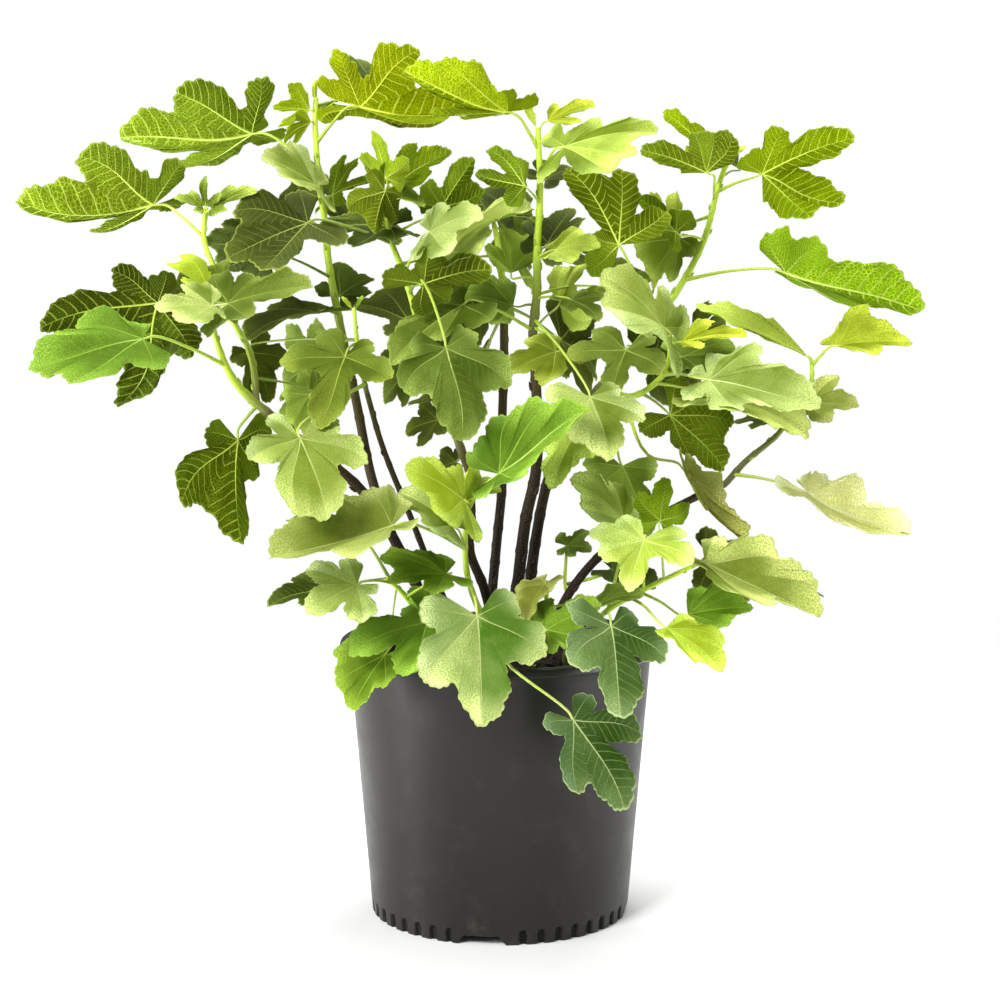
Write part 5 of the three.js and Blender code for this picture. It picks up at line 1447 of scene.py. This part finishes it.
def make_soil(materials, dice):
    """Soil body under a bumpy surface, with bark chips and white perlite on it."""
    piece = Piece(materials)
    reach = wall_radius(SOIL_TOP) - WALL_THICKNESS - GAP
    turns = np.linspace(0, 2 * math.pi, SOIL_COLUMNS, endpoint=False)
    wheel = np.stack([np.cos(turns), np.sin(turns)], axis=1)
    low = wall_radius(FLOOR_RAISE) - WALL_THICKNESS - GAP - 1
    rows = [(low * 0.02, FLOOR_RAISE + GAP, 0), (low, FLOOR_RAISE + GAP, 0), (reach, SOIL_TOP - 1.5, 0)]
    for share in np.linspace(0.99, 0.01, SOIL_ROWS):
        rows.append((reach * share, SOIL_TOP + SOIL_CROWN * (1 - share ** 2) - 1, 1))
    points = []
    for radius, height, rough in rows:
        x, y = (wheel * radius).T
        bumps = 1.7 * np.sin(x * 0.31 + 1.3 * np.sin(y * 0.23)) * np.sin(y * 0.27 + x * 0.05)
        bumps = bumps + np.array([dice.uniform(-0.7, 0.7) for _ in turns])
        points.append(np.column_stack([x, y, height + rough * bumps]))
    tint = colour("#2A201A")
    start = piece.add_points(np.concatenate(points), tint, tint, 0.0)
    piece.add_faces(grid_corners(start, len(rows), SOIL_COLUMNS, True), SOIL_BODY)
    for kind_of_crumb in CRUMBS:
        add_crumbs(piece, *kind_of_crumb, dice)
    return piece.build("soil_surface", sharp_angle=40)


def make_wood(name, foot, ends, path, material, dice):
    """Wood of a stem, dark brown below and turning olive where the green wood starts."""
    line = even_line(rooted_points(foot, path))
    pitch = dice.uniform(*WOOD_PITCH)
    radii, share = stem_radii(line, ends, pitch, WOOD_SWELL, dice.uniform(0, pitch))
    piece = Piece([material])
    add_tube(piece, line, radii, WOOD_SIDES, 0, grade(share, WOOD_COLOURS))
    add_buds(piece, line, radii, dice.uniform(*WOOD_FIRST_BUD), pitch, 0, colour("#2A2016"), dice)
    return piece.build(name.replace("wood", "stem"), sharp_angle=60)


def add_green_stem(piece, places, ends, ripe, dice):
    """Green stem that is olive up to its ripe share."""
    line = even_line(places)
    radii, share = stem_radii(line, ends, NODE_PITCH, GREEN_SWELL, dice.uniform(0, NODE_PITCH))
    tints = grade(share, list(zip([0, ripe, min(ripe + 0.25, 0.9), 1], GREEN_COLOURS)))
    add_tube(piece, line, radii, GREEN_SIDES, GREEN_STEM, tints)
    add_buds(piece, line, radii, GREEN_FIRST_BUD, NODE_PITCH, GREEN_STEM, colour("#8FA52A"), dice)


def make_foliage(shoot, order, wood_ends, materials, dice):
    """Green stems of a shoot with their petioles and leaves."""
    piece = Piece(materials)
    stem_line = []
    thick, thin = shoot["radii"]
    for index, path in enumerate(shoot["stems"]):
        rooted = index == 0 and shoot["foot"]
        places = rooted_points(shoot["foot"], path) if rooted else [sight(place) for place in path]
        if index == 0 and shoot["wood"]:
            places.insert(1, places[0] - wood_ends[shoot["wood"]] * BUTT_LENGTH)
        first = thick if index == 0 else SIDE_STEM_SHARE * thick
        add_green_stem(piece, places, (first, thin), shoot["ripe"], dice)
        stem_line.append(smooth([sight(place) for place in path], 12))
    stem_line = np.concatenate(stem_line)
    for index, leaf in enumerate(shoot["leaves"]):
        blade = blade_frame(leaf)
        add_blade(piece, leaf, blade, WAVE_SHIFT * index + order, dice)
        add_petiole(piece, leaf, blade, stem_line)
    return piece.build(shoot["name"].replace("shoot", "foliage"), sharp_angle=55)


dice = random.Random(SEED)

bark = bark_material()
wood_ends = {name: stem_end(rooted_points(foot, path)) for name, foot, _, path in WOODY_STEMS}
for name, foot, ends, path in WOODY_STEMS:
    wood = make_wood(name, foot, ends, path, bark, dice)
    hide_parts(name)
    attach(wood, "root")

leaf_paints = [
    leaf_material("fig_leaf_upper", UPPER_SKIN),
    leaf_material("fig_leaf_under", UNDER_SKIN),
    green_stem_material(),
]
for order, shoot in enumerate(SHOOTS):
    foliage = make_foliage(shoot, order, wood_ends, leaf_paints, dice)
    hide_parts(shoot["name"])
    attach(foliage, "root")

pot = make_pot(pot_material())
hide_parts("pot")
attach(pot, "root")

soil_paints = [
    crumb_material("potting_soil", 0.5, 0.95),
    crumb_material("bark_chips", 0.4, 0.8),
    crumb_material("perlite", 0.08, 0.9),
]
soil = make_soil(soil_paints, dice)
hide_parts("soil")
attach(soil, "root")

# Pale floor under a white surrounding, in metres
FLOOR_RADIUS = 1.4
FLOOR_SIDES = 96
turns = [2 * math.pi * side / FLOOR_SIDES for side in range(FLOOR_SIDES)]
border = [(FLOOR_RADIUS * math.cos(turn), FLOOR_RADIUS * math.sin(turn), 0) for turn in turns]
floor_mesh = bpy.data.meshes.new("floor")
floor_mesh.from_pydata(border, [], [tuple(range(FLOOR_SIDES))])
floor = add_object("floor", floor_mesh)
floor_paint = Paint("pale_floor")
floor_look = {"Base Color": (0.9, 0.9, 0.9, 1.0), "Roughness": 0.8}
floor_surface = floor_paint.add("ShaderNodeBsdfPrincipled", floor_look).outputs[0]
floor_mesh.materials.append(floor_paint.finish(floor_surface))

# White surroundings, dimmer as a light than as a backdrop
world = bpy.data.worlds.new("studio")
world.use_nodes = True
sky = world.node_tree.nodes["Background"]
sky.inputs["Color"].default_value = (1.0, 1.0, 1.0, 1.0)
rays = world.node_tree.nodes.new("ShaderNodeLightPath")
strength = world.node_tree.nodes.new("ShaderNodeMapRange")
strength.inputs["To Min"].default_value = 0.38
strength.inputs["To Max"].default_value = 1.0
world.node_tree.links.new(rays.outputs["Is Camera Ray"], strength.inputs["Value"])
world.node_tree.links.new(strength.outputs[0], sky.inputs["Strength"])
bpy.context.scene.world = world
bpy.context.scene.view_settings.view_transform = "Standard"

# Lights: name, place and target in metres, width, height and power
LIGHTS = [
    ("key", (-1.1, -1.7, 1.6), (0, 0, 0.45), 0.8, 0.8, 66),
    ("top", (0.2, 0.5, 2.2), (0, 0, 0.5), 1.0, 1.0, 56),
    ("left_strip", (-1.55, -0.5, 0.18), (0, 0, 0.12), 0.6, 0.35, 26),
    ("right_strip", (1.5, -0.55, 0.18), (0, 0, 0.12), 0.5, 0.35, 11),
]
for name, place, target, width, height, power in LIGHTS:
    light = bpy.data.lights.new(name, "AREA")
    light.shape = "RECTANGLE"
    light.size = width
    light.size_y = height
    light.energy = power
    lamp = add_object(name, light)
    lamp.location = place
    lamp.rotation_euler = (Vector(target) - Vector(place)).to_track_quat("-Z", "Y").to_euler()

camera_data = bpy.data.cameras.new("camera")
camera_data.lens = LENS
camera_data.sensor_width = SENSOR_WIDTH
camera = add_object("camera", camera_data)
camera.location = Vector(EYE) * MILLIMETRE
camera.rotation_euler = (math.radians(90) - EYE_TILT, 0, 0)
bpy.context.scene.camera = camera
